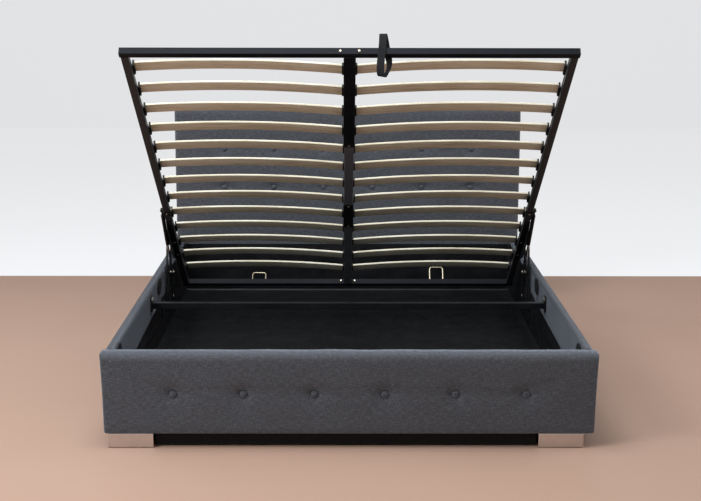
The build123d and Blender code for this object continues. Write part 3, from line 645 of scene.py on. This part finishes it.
lining = cloth_tray()
for vertex in lining.data.vertices:
    point = vertex.co
    rise = (point.z - wall_base) / raw_height
    on_side = abs(point.x) > lining_high.x - 0.002
    on_end = point.y < lining_low.y + 0.002 or point.y > lining_high.y - 0.002
    if rise > 0.001:
        point.z = wall_base + rise * (wall_height(point.y) - wall_base)
    if on_side and rise > 0.001:
        side = 1 if point.x > 0 else -1
        point.x = side * (rail_low.x + 0.0002 - side_slack(side, point.y, point.z))
    elif on_end and rise > 0.001:
        inward = 1 if point.y < 0 else -1
        point.y += inward * end_slack(point.x, point.z, rise)
    else:
        point.z += floor_crease(point.x, point.y)
apply_modifier(lining, "SUBSURF", levels=1, render_levels=1)
apply_modifier(lining, "SOLIDIFY", thickness=0.0006, offset=1)
smooth(lining, 60)
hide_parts("storage_lining")
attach(lining, "bed_frame")
count(lining)

# %% [markdown]
# The back of the headboard is closed with a thin black dust cloth, stretched and stapled along
# its edges. It dents slightly where no batten is behind it.

# %% Dust cloth on the back of the headboard
back_low, back_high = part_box("headboard_back_cloth")
cloth_corner = Vector((back_low.x, back_high.y - 0.0007, back_low.z))
dust_cloth = wall_of_quads("headboard_dust_cloth", cloth_corner, back_high, 0.014)
batten = 0.044
for vertex in dust_cloth.data.vertices:
    point = vertex.co
    edge = min(back_high.x - abs(point.x), point.z - back_low.z, back_high.z - point.z)
    bay = (point.x + back_high.x - batten) / ((2 * back_high.x - batten) / 4) % 1.0
    open_bay = sin(pi * bay) ** 0.5 if edge > batten else 0.0
    point.y -= 0.0004 * open_bay + abs(soft_wave(point.x, 0, point.z, 0.2, 0.0003))
apply_modifier(dust_cloth, "SOLIDIFY", thickness=0.0005, offset=0)
fix_normals(dust_cloth)
smooth(dust_cloth, 60)
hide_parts("headboard_back_cloth")
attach(dust_cloth, "bed_frame")
count(dust_cloth)

# %% [markdown]
# The platform is drawn flat, from the foot rail at zero, and then turned to its raised slope.
# One matrix does that for everything on it.

# %% The platform's own frame
foot_rail_place, platform_tilt = (0, -1.087 + 0.1685, 1.2888), -34.95
raised = Matrix.Translation(foot_rail_place) @ Matrix.Rotation(radians(platform_tilt), 4, "X")
print("foot rail at", [round(v, 3) for v in raised.translation])

# %% [markdown]
# A slat is a few layers of birch glued in a curve. A long grid is bent to an arc in code,
# extruded to its thickness, and given soft edges by a Bevel. The arc rises 14.5 mm, and the outer
# end of each slat sits 10 mm higher than its end on the middle tube.

# %% Slats
slat_pitch, first_slat, slat_count = 0.1413, 0.107, 13
slat_width, slat_thickness, slat_bow = 0.053, 0.008, 0.0145
slat_seat, slat_rise, end_room = 0.0213, 0.010, 0.003
centre_half, steel_beside = 0.0175, 0.00275
channel_end, sleeve_start, sleeve_end = 0.640, 1.131, 1.341
platform_half, side_tube = 0.7505, 0.025


def slat_ends(number):
    """X of the two ends of a right-hand slat, beside the channel or sleeve or the bare tube."""
    start = first_slat + number * slat_pitch
    beside = start < channel_end or (start < sleeve_end and start + slat_width > sleeve_start)
    centre = centre_half + (steel_beside if beside else 0)
    return centre + end_room, platform_half - side_tube - end_room


def bent_slat(low, high):
    slat = grid("slat", 26, 1, high - low, slat_width)
    bpy.ops.transform.translate(value=((low + high) / 2, slat_width / 2, 0))
    leave_edit()
    half = (high - low) / 2
    radius = (half ** 2 + slat_bow ** 2) / (2 * slat_bow)
    for vertex in slat.data.vertices:
        along = vertex.co.x - (low + high) / 2
        vertex.co.z = slat_bow - radius + (radius ** 2 - along ** 2) ** 0.5
        vertex.co.z += slat_rise * (vertex.co.x - low) / (high - low)
    pick_faces(slat, lambda c, n: True)
    extrude((0, 0, slat_thickness))
    leave_edit()
    fix_normals(slat)
    apply_modifier(slat, "BEVEL", width=0.0014, segments=2, limit_method="ANGLE",
                   angle_limit=radians(50))
    return slat


def slat_row(name, side):
    parts = []
    for number in range(slat_count):
        low, high = slat_ends(number)
        slat = bent_slat(low, high)
        slat.data.transform(Matrix.Translation((0, first_slat + number * slat_pitch, slat_seat)))
        slat.data.transform(Matrix.Diagonal((side, 1, 1, 1)))
        slat.data.transform(raised)
        parts.append(slat)
    row = join(parts, name)
    fix_normals(row)
    smooth(row, 35)
    return row


right_slats = slat_row("right_birch_slats", 1)
left_slats = slat_row("left_birch_slats", -1)
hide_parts("right_slats")
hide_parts("left_slats")
for piece in (right_slats, left_slats):
    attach(piece, "platform")
    count(piece)

# %% [markdown]
# The pull strap is one length of webbing sewn into a loop round the foot rail. Its front leg
# hangs straight, its back leg is turned aside, so that the loop opens a little towards the
# viewer. The path of the loop is a list of places with a twist, and the strap is lofted along
# it. Each place gives the shift across, along and up from the foot rail, the turn of the
# webbing in degrees, and how much lower its right edge hangs.

# %% Pull strap
strap_place, strap_half, strap_thick = 0.110, 0.0125, 0.0022
strap_path = [
    (-0.003, -0.004, 0.030, 0, 0), (-0.001, 0.003, 0.068, 2, 0),
    (0.000, 0.010, 0.0885, 2, 0), (0.003, 0.016, 0.080, 8, 0),
    (0.010, 0.0265, 0.040, 20, 0), (0.016, 0.0285, 0.012, 34, 0),
    (0.021, 0.0285, -0.016, 50, 0), (0.018, 0.026, -0.042, 54, 0),
    (0.006, 0.018, -0.064, 40, 0.002), (-0.004, 0.0095, -0.0815, 12, 0.004),
    (-0.011, 0.002, -0.080, 2, 0.004), (-0.011, -0.0035, -0.050, 0, 0),
    (-0.008, -0.0035, -0.014, 0, 0), (-0.005, -0.004, 0.010, 0, 0),
]


def webbing_loop(name, middle):
    """A closed band through the places of the path."""
    vertices, faces = [], []
    for across, along, up, turn, drop in strap_path:
        direction = Vector((cos(radians(turn)), -sin(radians(turn)), -drop / strap_half))
        centre = Vector((middle + across, along, up))
        vertices += [centre - direction * strap_half, centre + direction * strap_half]
    total = len(strap_path)
    for number in range(total):
        following = (number + 1) % total
        faces.append((2 * number, 2 * number + 1, 2 * following + 1, 2 * following))
    mesh = bpy.data.meshes.new(name)
    mesh.from_pydata(vertices, [], faces)
    band = bpy.data.objects.new(name, mesh)
    bpy.context.collection.objects.link(band)
    return band


strap = webbing_loop("pull_strap_webbing", strap_place)
apply_modifier(strap, "SUBSURF", levels=3, render_levels=3)
apply_modifier(strap, "SOLIDIFY", thickness=strap_thick, offset=0)
fix_normals(strap)
strap.data.transform(raised)
smooth(strap, 50)
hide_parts("pull_strap")
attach(strap, "platform")
count(strap)

# %% [markdown]
# Finishes come next. Small functions add a node, set its values and link it, so that each
# finish below reads as a short list of what it is made of. A node group holds an effect that
# more than one finish uses, here the threads of a cloth: it takes a position on the fabric,
# along and up, and gives back a height for the bump and two masks.

# %% Node helpers
def new_material(name):
    material = bpy.data.materials.new(name)
    material.use_nodes = True
    tree = material.node_tree
    return material, tree, tree.nodes["Principled BSDF"]


def add(tree, kind, **settings):
    node = tree.nodes.new(kind)
    for key, value in settings.items():
        if key in node.inputs:
            node.inputs[key].default_value = value
        else:
            setattr(node, key, value)
    return node


def math_node(tree, operation, first, second):
    node = tree.nodes.new("ShaderNodeMath")
    node.operation = operation
    for socket, value in zip(node.inputs, (first, second)):
        if isinstance(value, (int, float)):
            socket.default_value = value
        else:
            tree.links.new(value, socket)
    return node.outputs[0]


def object_place(tree):
    return tree.nodes.new("ShaderNodeTexCoord").outputs["Object"]


def stretched_place(tree, place, scale):
    node = add(tree, "ShaderNodeMapping", Scale=scale)
    tree.links.new(place, node.inputs["Vector"])
    return node.outputs["Vector"]


def noise_value(tree, place, scale, detail=4.0, roughness=0.6):
    node = add(tree, "ShaderNodeTexNoise", Scale=scale, Detail=detail, Roughness=roughness)
    tree.links.new(place, node.inputs["Vector"])
    return node.outputs["Fac"]


def ramp(tree, value, stops):
    """A colour ramp; stops are pairs of a position and a colour."""
    node = tree.nodes.new("ShaderNodeValToRGB")
    elements = node.color_ramp.elements
    while len(elements) < len(stops):
        elements.new(0.5)
    for element, (position, colour) in zip(elements, stops):
        element.position = position
        element.color = (*colour, 1)
    tree.links.new(value, node.inputs["Fac"])
    return node.outputs["Color"]


def grey_ramp(tree, value, low, high):
    """A ramp between two greys; both are pairs of a position and a level."""
    return ramp(tree, value, [(position, (level, level, level)) for position, level in (low, high)])


def feed(tree, shader, values):
    """Links or sets a shader's own sockets, by their names."""
    for socket, value in values.items():
        if isinstance(value, bpy.types.NodeSocket):
            tree.links.new(value, shader.inputs[socket])
        else:
            shader.inputs[socket].default_value = value


def bump(tree, shader, height, strength, distance):
    node = add(tree, "ShaderNodeBump", Strength=strength, Distance=distance)
    tree.links.new(height, node.inputs["Height"])
    tree.links.new(node.outputs["Normal"], shader.inputs["Normal"])


# %% [markdown]
# A finish is given to a new piece directly. The solid model's own pieces keep their shape and
# only change their material, and its record says which material slot each of them has.

# %% Giving a finish to pieces
def give(material, *pieces):
    for piece in pieces:
        piece.data.materials.clear()
        piece.data.materials.append(material)
    print(material.name, "on", len(pieces), "pieces")


subparts = frame["record"]["subparts"]


def names_with(slot):
    """Names of the solid model's pieces that have this material slot."""
    return [item["node"] for item in subparts if item["material_slot"] == slot]


def give_nodes(material, names):
    give(material, *[nodes[name] for name in names])


print("material slots", sorted({item["material_slot"] for item in subparts}))

# %% [markdown]
# Seen closely, the cover is a plain weave whose threads vary in thickness. Noise stretched
# along each direction gives the threads, two crossing waves give the weave between them, and
# very broad noise gives the faint patches that a large panel shows.

# %% The threads of a woven cloth, as a node group
def thread_group():
    group = bpy.data.node_groups.new("woven threads", "ShaderNodeTree")
    for way, names in (("INPUT", ("Along", "Up", "Pitch")),
                       ("OUTPUT", ("Height", "Thick threads", "Patches"))):
        for name in names:
            group.interface.new_socket(name, in_out=way, socket_type="NodeSocketFloat")
    source, sink = group.nodes.new("NodeGroupInput"), group.nodes.new("NodeGroupOutput")
    along, up, pitch = source.outputs[0], source.outputs[1], source.outputs[2]
    turns = []
    for value in (along, up):
        cycles = math_node(group, "DIVIDE", value, pitch)
        turns.append(math_node(group, "SINE", math_node(group, "MULTIPLY", cycles, 2 * pi), 0))
    crossing = math_node(group, "MULTIPLY", turns[0], turns[1])

    def streaks(across_scale, up_scale):
        joined = group.nodes.new("ShaderNodeCombineXYZ")
        group.links.new(math_node(group, "MULTIPLY", along, across_scale), joined.inputs[0])
        group.links.new(math_node(group, "MULTIPLY", up, up_scale), joined.inputs[1])
        return noise_value(group, joined.outputs[0], 1.0, 3.0, 0.65)

    weft = math_node(group, "MULTIPLY", streaks(52.0, 340.0), 0.54)
    warp = math_node(group, "MULTIPLY", streaks(400.0, 62.0), 0.46)
    mixed = math_node(group, "ADD", weft, warp)
    height = math_node(group, "ADD", math_node(group, "MULTIPLY", crossing, 0.25), mixed)
    for number, value in enumerate((height, mixed, streaks(5.0, 7.0))):
        group.links.new(value, sink.inputs[number])
    return group


threads = thread_group()
print("thread group has", len(threads.nodes), "nodes")

# %% [markdown]
# The cover is a charcoal cloth of mixed light and dark threads. On the end panels its threads
# run along X and over the top edge, on the rails along Y, so the material is made once for each
# direction. Sheen gives woven fabric its pale rim.

# %% Upholstery fabric
thread_colours = [(0.40, (0.020, 0.0222, 0.0272)), (0.50, (0.0415, 0.0450, 0.0535)),
                  (0.61, (0.087, 0.093, 0.109))]
patch_shades = [(0.25, (0.88, 0.88, 0.89)), (0.75, (1.08, 1.08, 1.09))]
weave_pitch = 0.0019


def upholstery(name, along_axes, up_axes, sheen, sheen_spread):
    material, tree, shader = new_material(name)
    place = object_place(tree)
    weave = tree.nodes.new("ShaderNodeGroup")
    weave.node_tree = threads
    for socket, axes in (("Along", along_axes), ("Up", up_axes)):
        dot = tree.nodes.new("ShaderNodeVectorMath")
        dot.operation = "DOT_PRODUCT"
        dot.inputs[1].default_value = axes
        tree.links.new(place, dot.inputs[0])
        tree.links.new(dot.outputs["Value"], weave.inputs[socket])
    weave.inputs["Pitch"].default_value = weave_pitch
    tint = tree.nodes.new("ShaderNodeMix")
    tint.data_type = "RGBA"
    tint.blend_type = "MULTIPLY"
    tint.inputs["Factor"].default_value = 1.0
    tree.links.new(ramp(tree, weave.outputs["Thick threads"], thread_colours), tint.inputs["A"])
    tree.links.new(ramp(tree, weave.outputs["Patches"], patch_shades), tint.inputs["B"])
    feed(tree, shader, {"Base Color": tint.outputs["Result"], "Roughness": 0.72,
                        "Sheen Weight": sheen, "Sheen Roughness": sheen_spread,
                        "Sheen Tint": (0.78, 0.86, 1.0, 1)})
    bump(tree, shader, weave.outputs["Height"], strength=0.75, distance=0.0010)
    return material


end_fabric = upholstery("charcoal weave on end panels", (1.0, 0.9, 0.0), (0.0, 0.7, 1.0),
                        sheen=1.0, sheen_spread=0.42)
rail_fabric = upholstery("charcoal weave on rails", (0.9, 1.0, 0.0), (0.7, 0.0, 1.0),
                         sheen=0.35, sheen_spread=0.26)
give(end_fabric, footboard, headboard, foot_buttons, head_buttons)
give(rail_fabric, rail, left_rail)

# %% [markdown]
# The lining is pressed fibre, not woven: nearly black, faintly shiny, with a fine random grain.
# The dust cloth on the headboard is the same stuff.

# %% Black non-woven cloth
def black_cloth():
    material, tree, shader = new_material("black non-woven cloth")
    place = object_place(tree)
    fibre = noise_value(tree, place, 900.0, 3.0)
    crumple = noise_value(tree, place, 14.0, 6.0, 0.65)
    height = math_node(tree, "ADD", math_node(tree, "MULTIPLY", fibre, 0.12), crumple)
    colour = ramp(tree, fibre, [(0.3, (0.0018, 0.0019, 0.0024)), (0.7, (0.0048, 0.0050, 0.0062))])
    gloss = grey_ramp(tree, crumple, (0.35, 0.34), (0.65, 0.52))
    feed(tree, shader, {"Base Color": colour, "Roughness": gloss, "Specular IOR Level": 0.22})
    bump(tree, shader, height, strength=0.45, distance=0.005)
    return material


give(black_cloth(), lining, dust_cloth)

# %% [markdown]
# Webbing is woven tight, with ribs across its width. On the hanging loop a wave along the
# diagonal of the object is close to that, because the ribs are hardly seen at this size.

# %% Webbing
def webbing():
    material, tree, shader = new_material("black ribbed webbing")
    place = object_place(tree)
    ribs = add(tree, "ShaderNodeTexWave", Scale=210.0, Distortion=0.6, Detail=1.0,
               bands_direction="DIAGONAL")
    tree.links.new(place, ribs.inputs["Vector"])
    colour = ramp(tree, ribs.outputs["Fac"],
                  [(0.2, (0.0020, 0.0020, 0.0026)), (0.8, (0.0060, 0.0060, 0.0072))])
    feed(tree, shader, {"Base Color": colour, "Roughness": 0.7, "Specular IOR Level": 0.15})
    bump(tree, shader, ribs.outputs["Fac"], strength=0.5, distance=0.0006)
    return material


give(webbing(), strap)

# %% [markdown]
# Powder coat is a thick satin paint with a slight orange-peel surface. Its roughness and tone
# change a little from place to place. The side tubes are made a little lighter as painted
# light, and the centre tubes much lighter as painted reflection of the bright floor and windows.
# The rails at both ends are a satin black, and all other steel, such as the lifting mechanism,
# has a deep black of its own.

# %% Black powder coat
def powder_coat(name, dark, light, rough, gloss_level):
    material, tree, shader = new_material(name)
    place = object_place(tree)
    peel = noise_value(tree, place, 420.0, 2.0)
    smudge = noise_value(tree, place, 9.0, 5.0)
    colour = ramp(tree, smudge, [(0.35, dark), (0.70, light)])
    gloss = grey_ramp(tree, smudge, (0.3, rough[0]), (0.7, rough[1]))
    feed(tree, shader, {"Base Color": colour, "Roughness": gloss,
                        "Specular IOR Level": gloss_level})
    bump(tree, shader, peel, strength=0.18, distance=0.0006)
    return material


steel = names_with("black_steel")
side_tubes = [name for name in steel if name.endswith("_side_tube")]
centre_tubes = [name for name in steel if name.endswith(("_tube_front", "_tube_rear"))]
end_rails = [name for name in steel if name.endswith("_rail")]
other_steel = [name for name in steel if name not in side_tubes + centre_tubes + end_rails]
# The second and third finishes are the same black made lighter: painted light on the side tubes,
# painted reflection of the floor and windows on the centre tubes.
for name, dark, light, rough, gloss_level, pieces in (
        ("satin black powder coat", (0.0062, 0.0072, 0.0098), (0.0098, 0.0112, 0.0150),
         (0.42, 0.54), 0.09, end_rails),
        ("satin powder coat lightened as painted light", (0.0190, 0.0196, 0.0220), (0.0270, 0.0280, 0.0310),
         (0.38, 0.50), 0.20, side_tubes),
        ("satin powder coat lightened as painted reflection", (0.1000, 0.1040, 0.1180), (0.1180, 0.1230, 0.1380),
         (0.42, 0.55), 0.30, centre_tubes),
        ("deep black powder coat", (0.0050, 0.0054, 0.0066), (0.0085, 0.0090, 0.0105),
         (0.40, 0.55), 0.16, other_steel)):
    give_nodes(powder_coat(name, dark, light, rough, gloss_level), pieces)

# %% [markdown]
# The plugs, holders and pads are moulded plastic, which looks like powder coat with less
# gloss, so they share its function. The boards that can be seen are painted black, and their
# grain still shows as faint upright streaks.

# %% Matt black plastic and painted board
plastic = powder_coat("matt black plastic", (0.006, 0.006, 0.006), (0.011, 0.011, 0.012),
                      (0.52, 0.66), 0.2)
give_nodes(plastic, names_with("black_plastic"))


def painted_board():
    material, tree, shader = new_material("black painted board")
    grain_place = stretched_place(tree, object_place(tree), (1.0, 1.0, 14.0))
    grain = noise_value(tree, grain_place, 22.0, 6.0)
    colour = ramp(tree, grain, [(0.3, (0.003, 0.003, 0.003)), (0.7, (0.007, 0.0065, 0.006))])
    feed(tree, shader, {"Base Color": colour, "Roughness": 0.75, "Specular IOR Level": 0.15})
    bump(tree, shader, grain, strength=0.3, distance=0.0008)
    return material


give_nodes(painted_board(), names_with("black_board"))

# %% [markdown]
# Wood grain is noise stretched along the fibres. On a slat the fibres run across the bed, so X
# is stretched. A second, broader noise shifts the tone from slat to slat and along each one.

# %% Birch and raw board
def wood(name, fibre_scale, colours, rough, strength):
    material, tree, shader = new_material(name)
    place = object_place(tree)
    fibres = noise_value(tree, stretched_place(tree, place, fibre_scale), 1.0, 6.0, 0.62)
    tone = noise_value(tree, place, 3.1, 2.0)
    mixed = math_node(tree, "ADD", math_node(tree, "MULTIPLY", fibres, 0.7),
                      math_node(tree, "MULTIPLY", tone, 0.3))
    feed(tree, shader, {"Base Color": ramp(tree, mixed, colours), "Roughness": rough})
    bump(tree, shader, fibres, strength, distance=0.0006)
    return material


birch_colours = [(0.34, (0.49, 0.42, 0.29)), (0.50, (0.70, 0.64, 0.49)), (0.68, (0.83, 0.79, 0.66))]
pine_colours = [(0.34, (0.36, 0.24, 0.13)), (0.50, (0.52, 0.37, 0.22)), (0.68, (0.62, 0.46, 0.29))]
birch = wood("lacquered birch", (6.0, 130.0, 130.0), birch_colours, rough=0.48, strength=0.25)
give(birch, right_slats, left_slats)
raw_board = wood("raw pine board", (60.0, 60.0, 4.0), pine_colours, rough=0.7, strength=0.4)
give_nodes(raw_board, names_with("pine_board"))

# %% [markdown]
# The feet are chromed and pick up the floor. Fasteners and hoops are plated with zinc, which is
# yellower and duller, with small scratches that spread its highlights.

# %% Chrome and zinc
def plated(name, dark, light, rough, cloud_scale):
    material, tree, shader = new_material(name)
    cloud = noise_value(tree, object_place(tree), cloud_scale, 4.0)
    colour = ramp(tree, cloud, [(0.35, dark), (0.65, light)])
    gloss = grey_ramp(tree, cloud, (0.3, rough[0]), (0.7, rough[1]))
    feed(tree, shader, {"Base Color": colour, "Roughness": gloss, "Metallic": 1.0})
    return material


chrome = plated("polished chrome", (0.50, 0.47, 0.45), (0.60, 0.57, 0.55), (0.05, 0.10), 6.0)
give_nodes(chrome, names_with("chrome"))
zinc = plated("yellowish zinc plate", (0.40, 0.34, 0.235), (0.58, 0.51, 0.38), (0.28, 0.42), 90.0)
give_nodes(zinc, names_with("zinc"))

# %% [markdown]
# The room is a plain pale floor and a white backdrop. The backdrop starts as white ground just
# behind the bed and rises far behind it, so that a camera can also stand behind the bed. Its
# brightness is for the camera and for reflections only, so it adds no light to the bed.

# %% Floor and backdrop
room_wide, room_front, floor_end, room_back, backdrop_tall = 14, -7, 1.62, 9, 5


def pale_floor():
    material, tree, shader = new_material("plain pale floor")
    cloud = noise_value(tree, object_place(tree), 0.8, 3.0)
    colour = ramp(tree, cloud, [(0.3, (0.435, 0.276, 0.202)), (0.7, (0.458, 0.292, 0.215))])
    feed(tree, shader, {"Base Color": colour, "Roughness": 0.55})
    return material


def seen_directly(tree):
    """One for rays from the camera and for reflections, and nothing for other light."""
    path = tree.nodes.new("ShaderNodeLightPath")
    return math_node(tree, "MAXIMUM", path.outputs["Is Camera Ray"], path.outputs["Is Glossy Ray"])


def white_backdrop():
    material, tree, shader = new_material("white backdrop")
    glow = math_node(tree, "MULTIPLY", seen_directly(tree), 0.70)
    feed(tree, shader, {"Base Color": (0.25, 0.25, 0.255, 1), "Roughness": 0.95,
                        "Emission Color": (0.98, 0.985, 1.0, 1), "Emission Strength": glow})
    return material


def lying(front, back):
    """Places a unit plane flat on the ground, from one Y to another."""
    middle = Matrix.Translation((0, (front + back) / 2, 0))
    return middle @ Matrix.Diagonal((room_wide, back - front, 1, 1))


def standing(at, tall):
    upright = Matrix.Translation((0, at, tall / 2)) @ Matrix.Rotation(pi / 2, 4, "X")
    return upright @ Matrix.Diagonal((room_wide, tall, 1, 1))


floor_paint, backdrop_paint = pale_floor(), white_backdrop()
for name, shape, paint in (
        ("studio_floor", lying(room_front, floor_end), floor_paint),
        ("studio_backdrop_ground", lying(floor_end, room_back), backdrop_paint),
        ("studio_backdrop", standing(room_back, backdrop_tall), backdrop_paint)):
    clear_selection()
    bpy.ops.mesh.primitive_plane_add(size=1)
    plane = bpy.context.object
    plane.name = name
    plane.data.transform(shape)
    give(paint, plane)

# %% [markdown]
# The light of a room with a window on the left: a soft lamp high on the left and in front, a
# weaker one low beside the camera, and one at the side. A wide lamp above the bed gives the
# short shadows, one on the right fills them, and the world lights the rest evenly. Together
# they show a colour about as it is written.

# %% Lamps and world
def soft_lamp(name, place, target, size, power, colour):
    data = bpy.data.lights.new(name, "AREA")
    data.shape = "RECTANGLE"
    data.size, data.size_y = size
    data.energy = power
    data.color = colour
    lamp = bpy.data.objects.new(name, data)
    bpy.context.collection.objects.link(lamp)
    lamp.location = place
    lamp.rotation_euler = (Vector(target) - Vector(place)).to_track_quat("-Z", "Y").to_euler()


for name, place, target, size, power, colour in (
        ("window_light", (-2.7, -2.6, 3.0), (-0.2, -0.7, 0.3), (1.4, 1.1), 90, (0.90, 0.95, 1.0)),
        ("low_window", (-3.4, -4.6, 1.2), (0, 0, 0.6), (2.4, 1.6), 20, (0.92, 0.96, 1.0)),
        ("ceiling_light", (-0.5, -1.1, 4.0), (0, -0.8, 0), (2.4, 2.0), 118, (0.90, 0.95, 1.0)),
        ("side_window", (-3.4, 0.2, 2.4), (0.6, 0.1, 0.3), (2.0, 1.4), 16, (0.86, 0.92, 1.0)),
        ("right_fill", (3.4, 0.0, 2.6), (-0.6, 0, 0.3), (2.0, 1.4), 34, (0.98, 0.98, 1.0))):
    soft_lamp(name, place, target, size, power, colour)

world = bpy.data.worlds.new("soft studio")
world.use_nodes = True
bpy.context.scene.world = world
sky = world.node_tree
strength = sky.nodes.new("ShaderNodeMapRange")
feed(sky, strength, {"Value": seen_directly(sky), "To Min": 0.27, "To Max": 0.95})
feed(sky, sky.nodes["Background"], {"Color": (0.97, 0.98, 1.0, 1),
                                    "Strength": strength.outputs["Result"]})
bpy.context.scene.view_settings.view_transform = "Standard"

# %% [markdown]
# The camera stands about 1.5 m up and 4.3 m in front of the footboard, tilted 11 degrees down.
# Its place was worked out from the corners of the bed in the photograph.

# %% Camera
camera_data = bpy.data.cameras.new("camera")
camera = bpy.data.objects.new("camera", camera_data)
bpy.context.collection.objects.link(camera)
right = Vector((0.9999847, -0.00522022, 0.00182849))
up = Vector((-0.00078508, 0.19327718, 0.98114388))
back = -Vector((0.00547519, 0.98113031, -0.19327013))
turn = Matrix((right, up, back)).transposed().to_4x4()
camera.matrix_world = Matrix.Translation((-0.021635, -5.422476, 1.523937)) @ turn
camera_data.lens = 70.38
camera_data.sensor_width = 36.0
camera_data.clip_end = 60
bpy.context.scene.camera = camera
print("camera at", [round(v, 3) for v in camera.location])
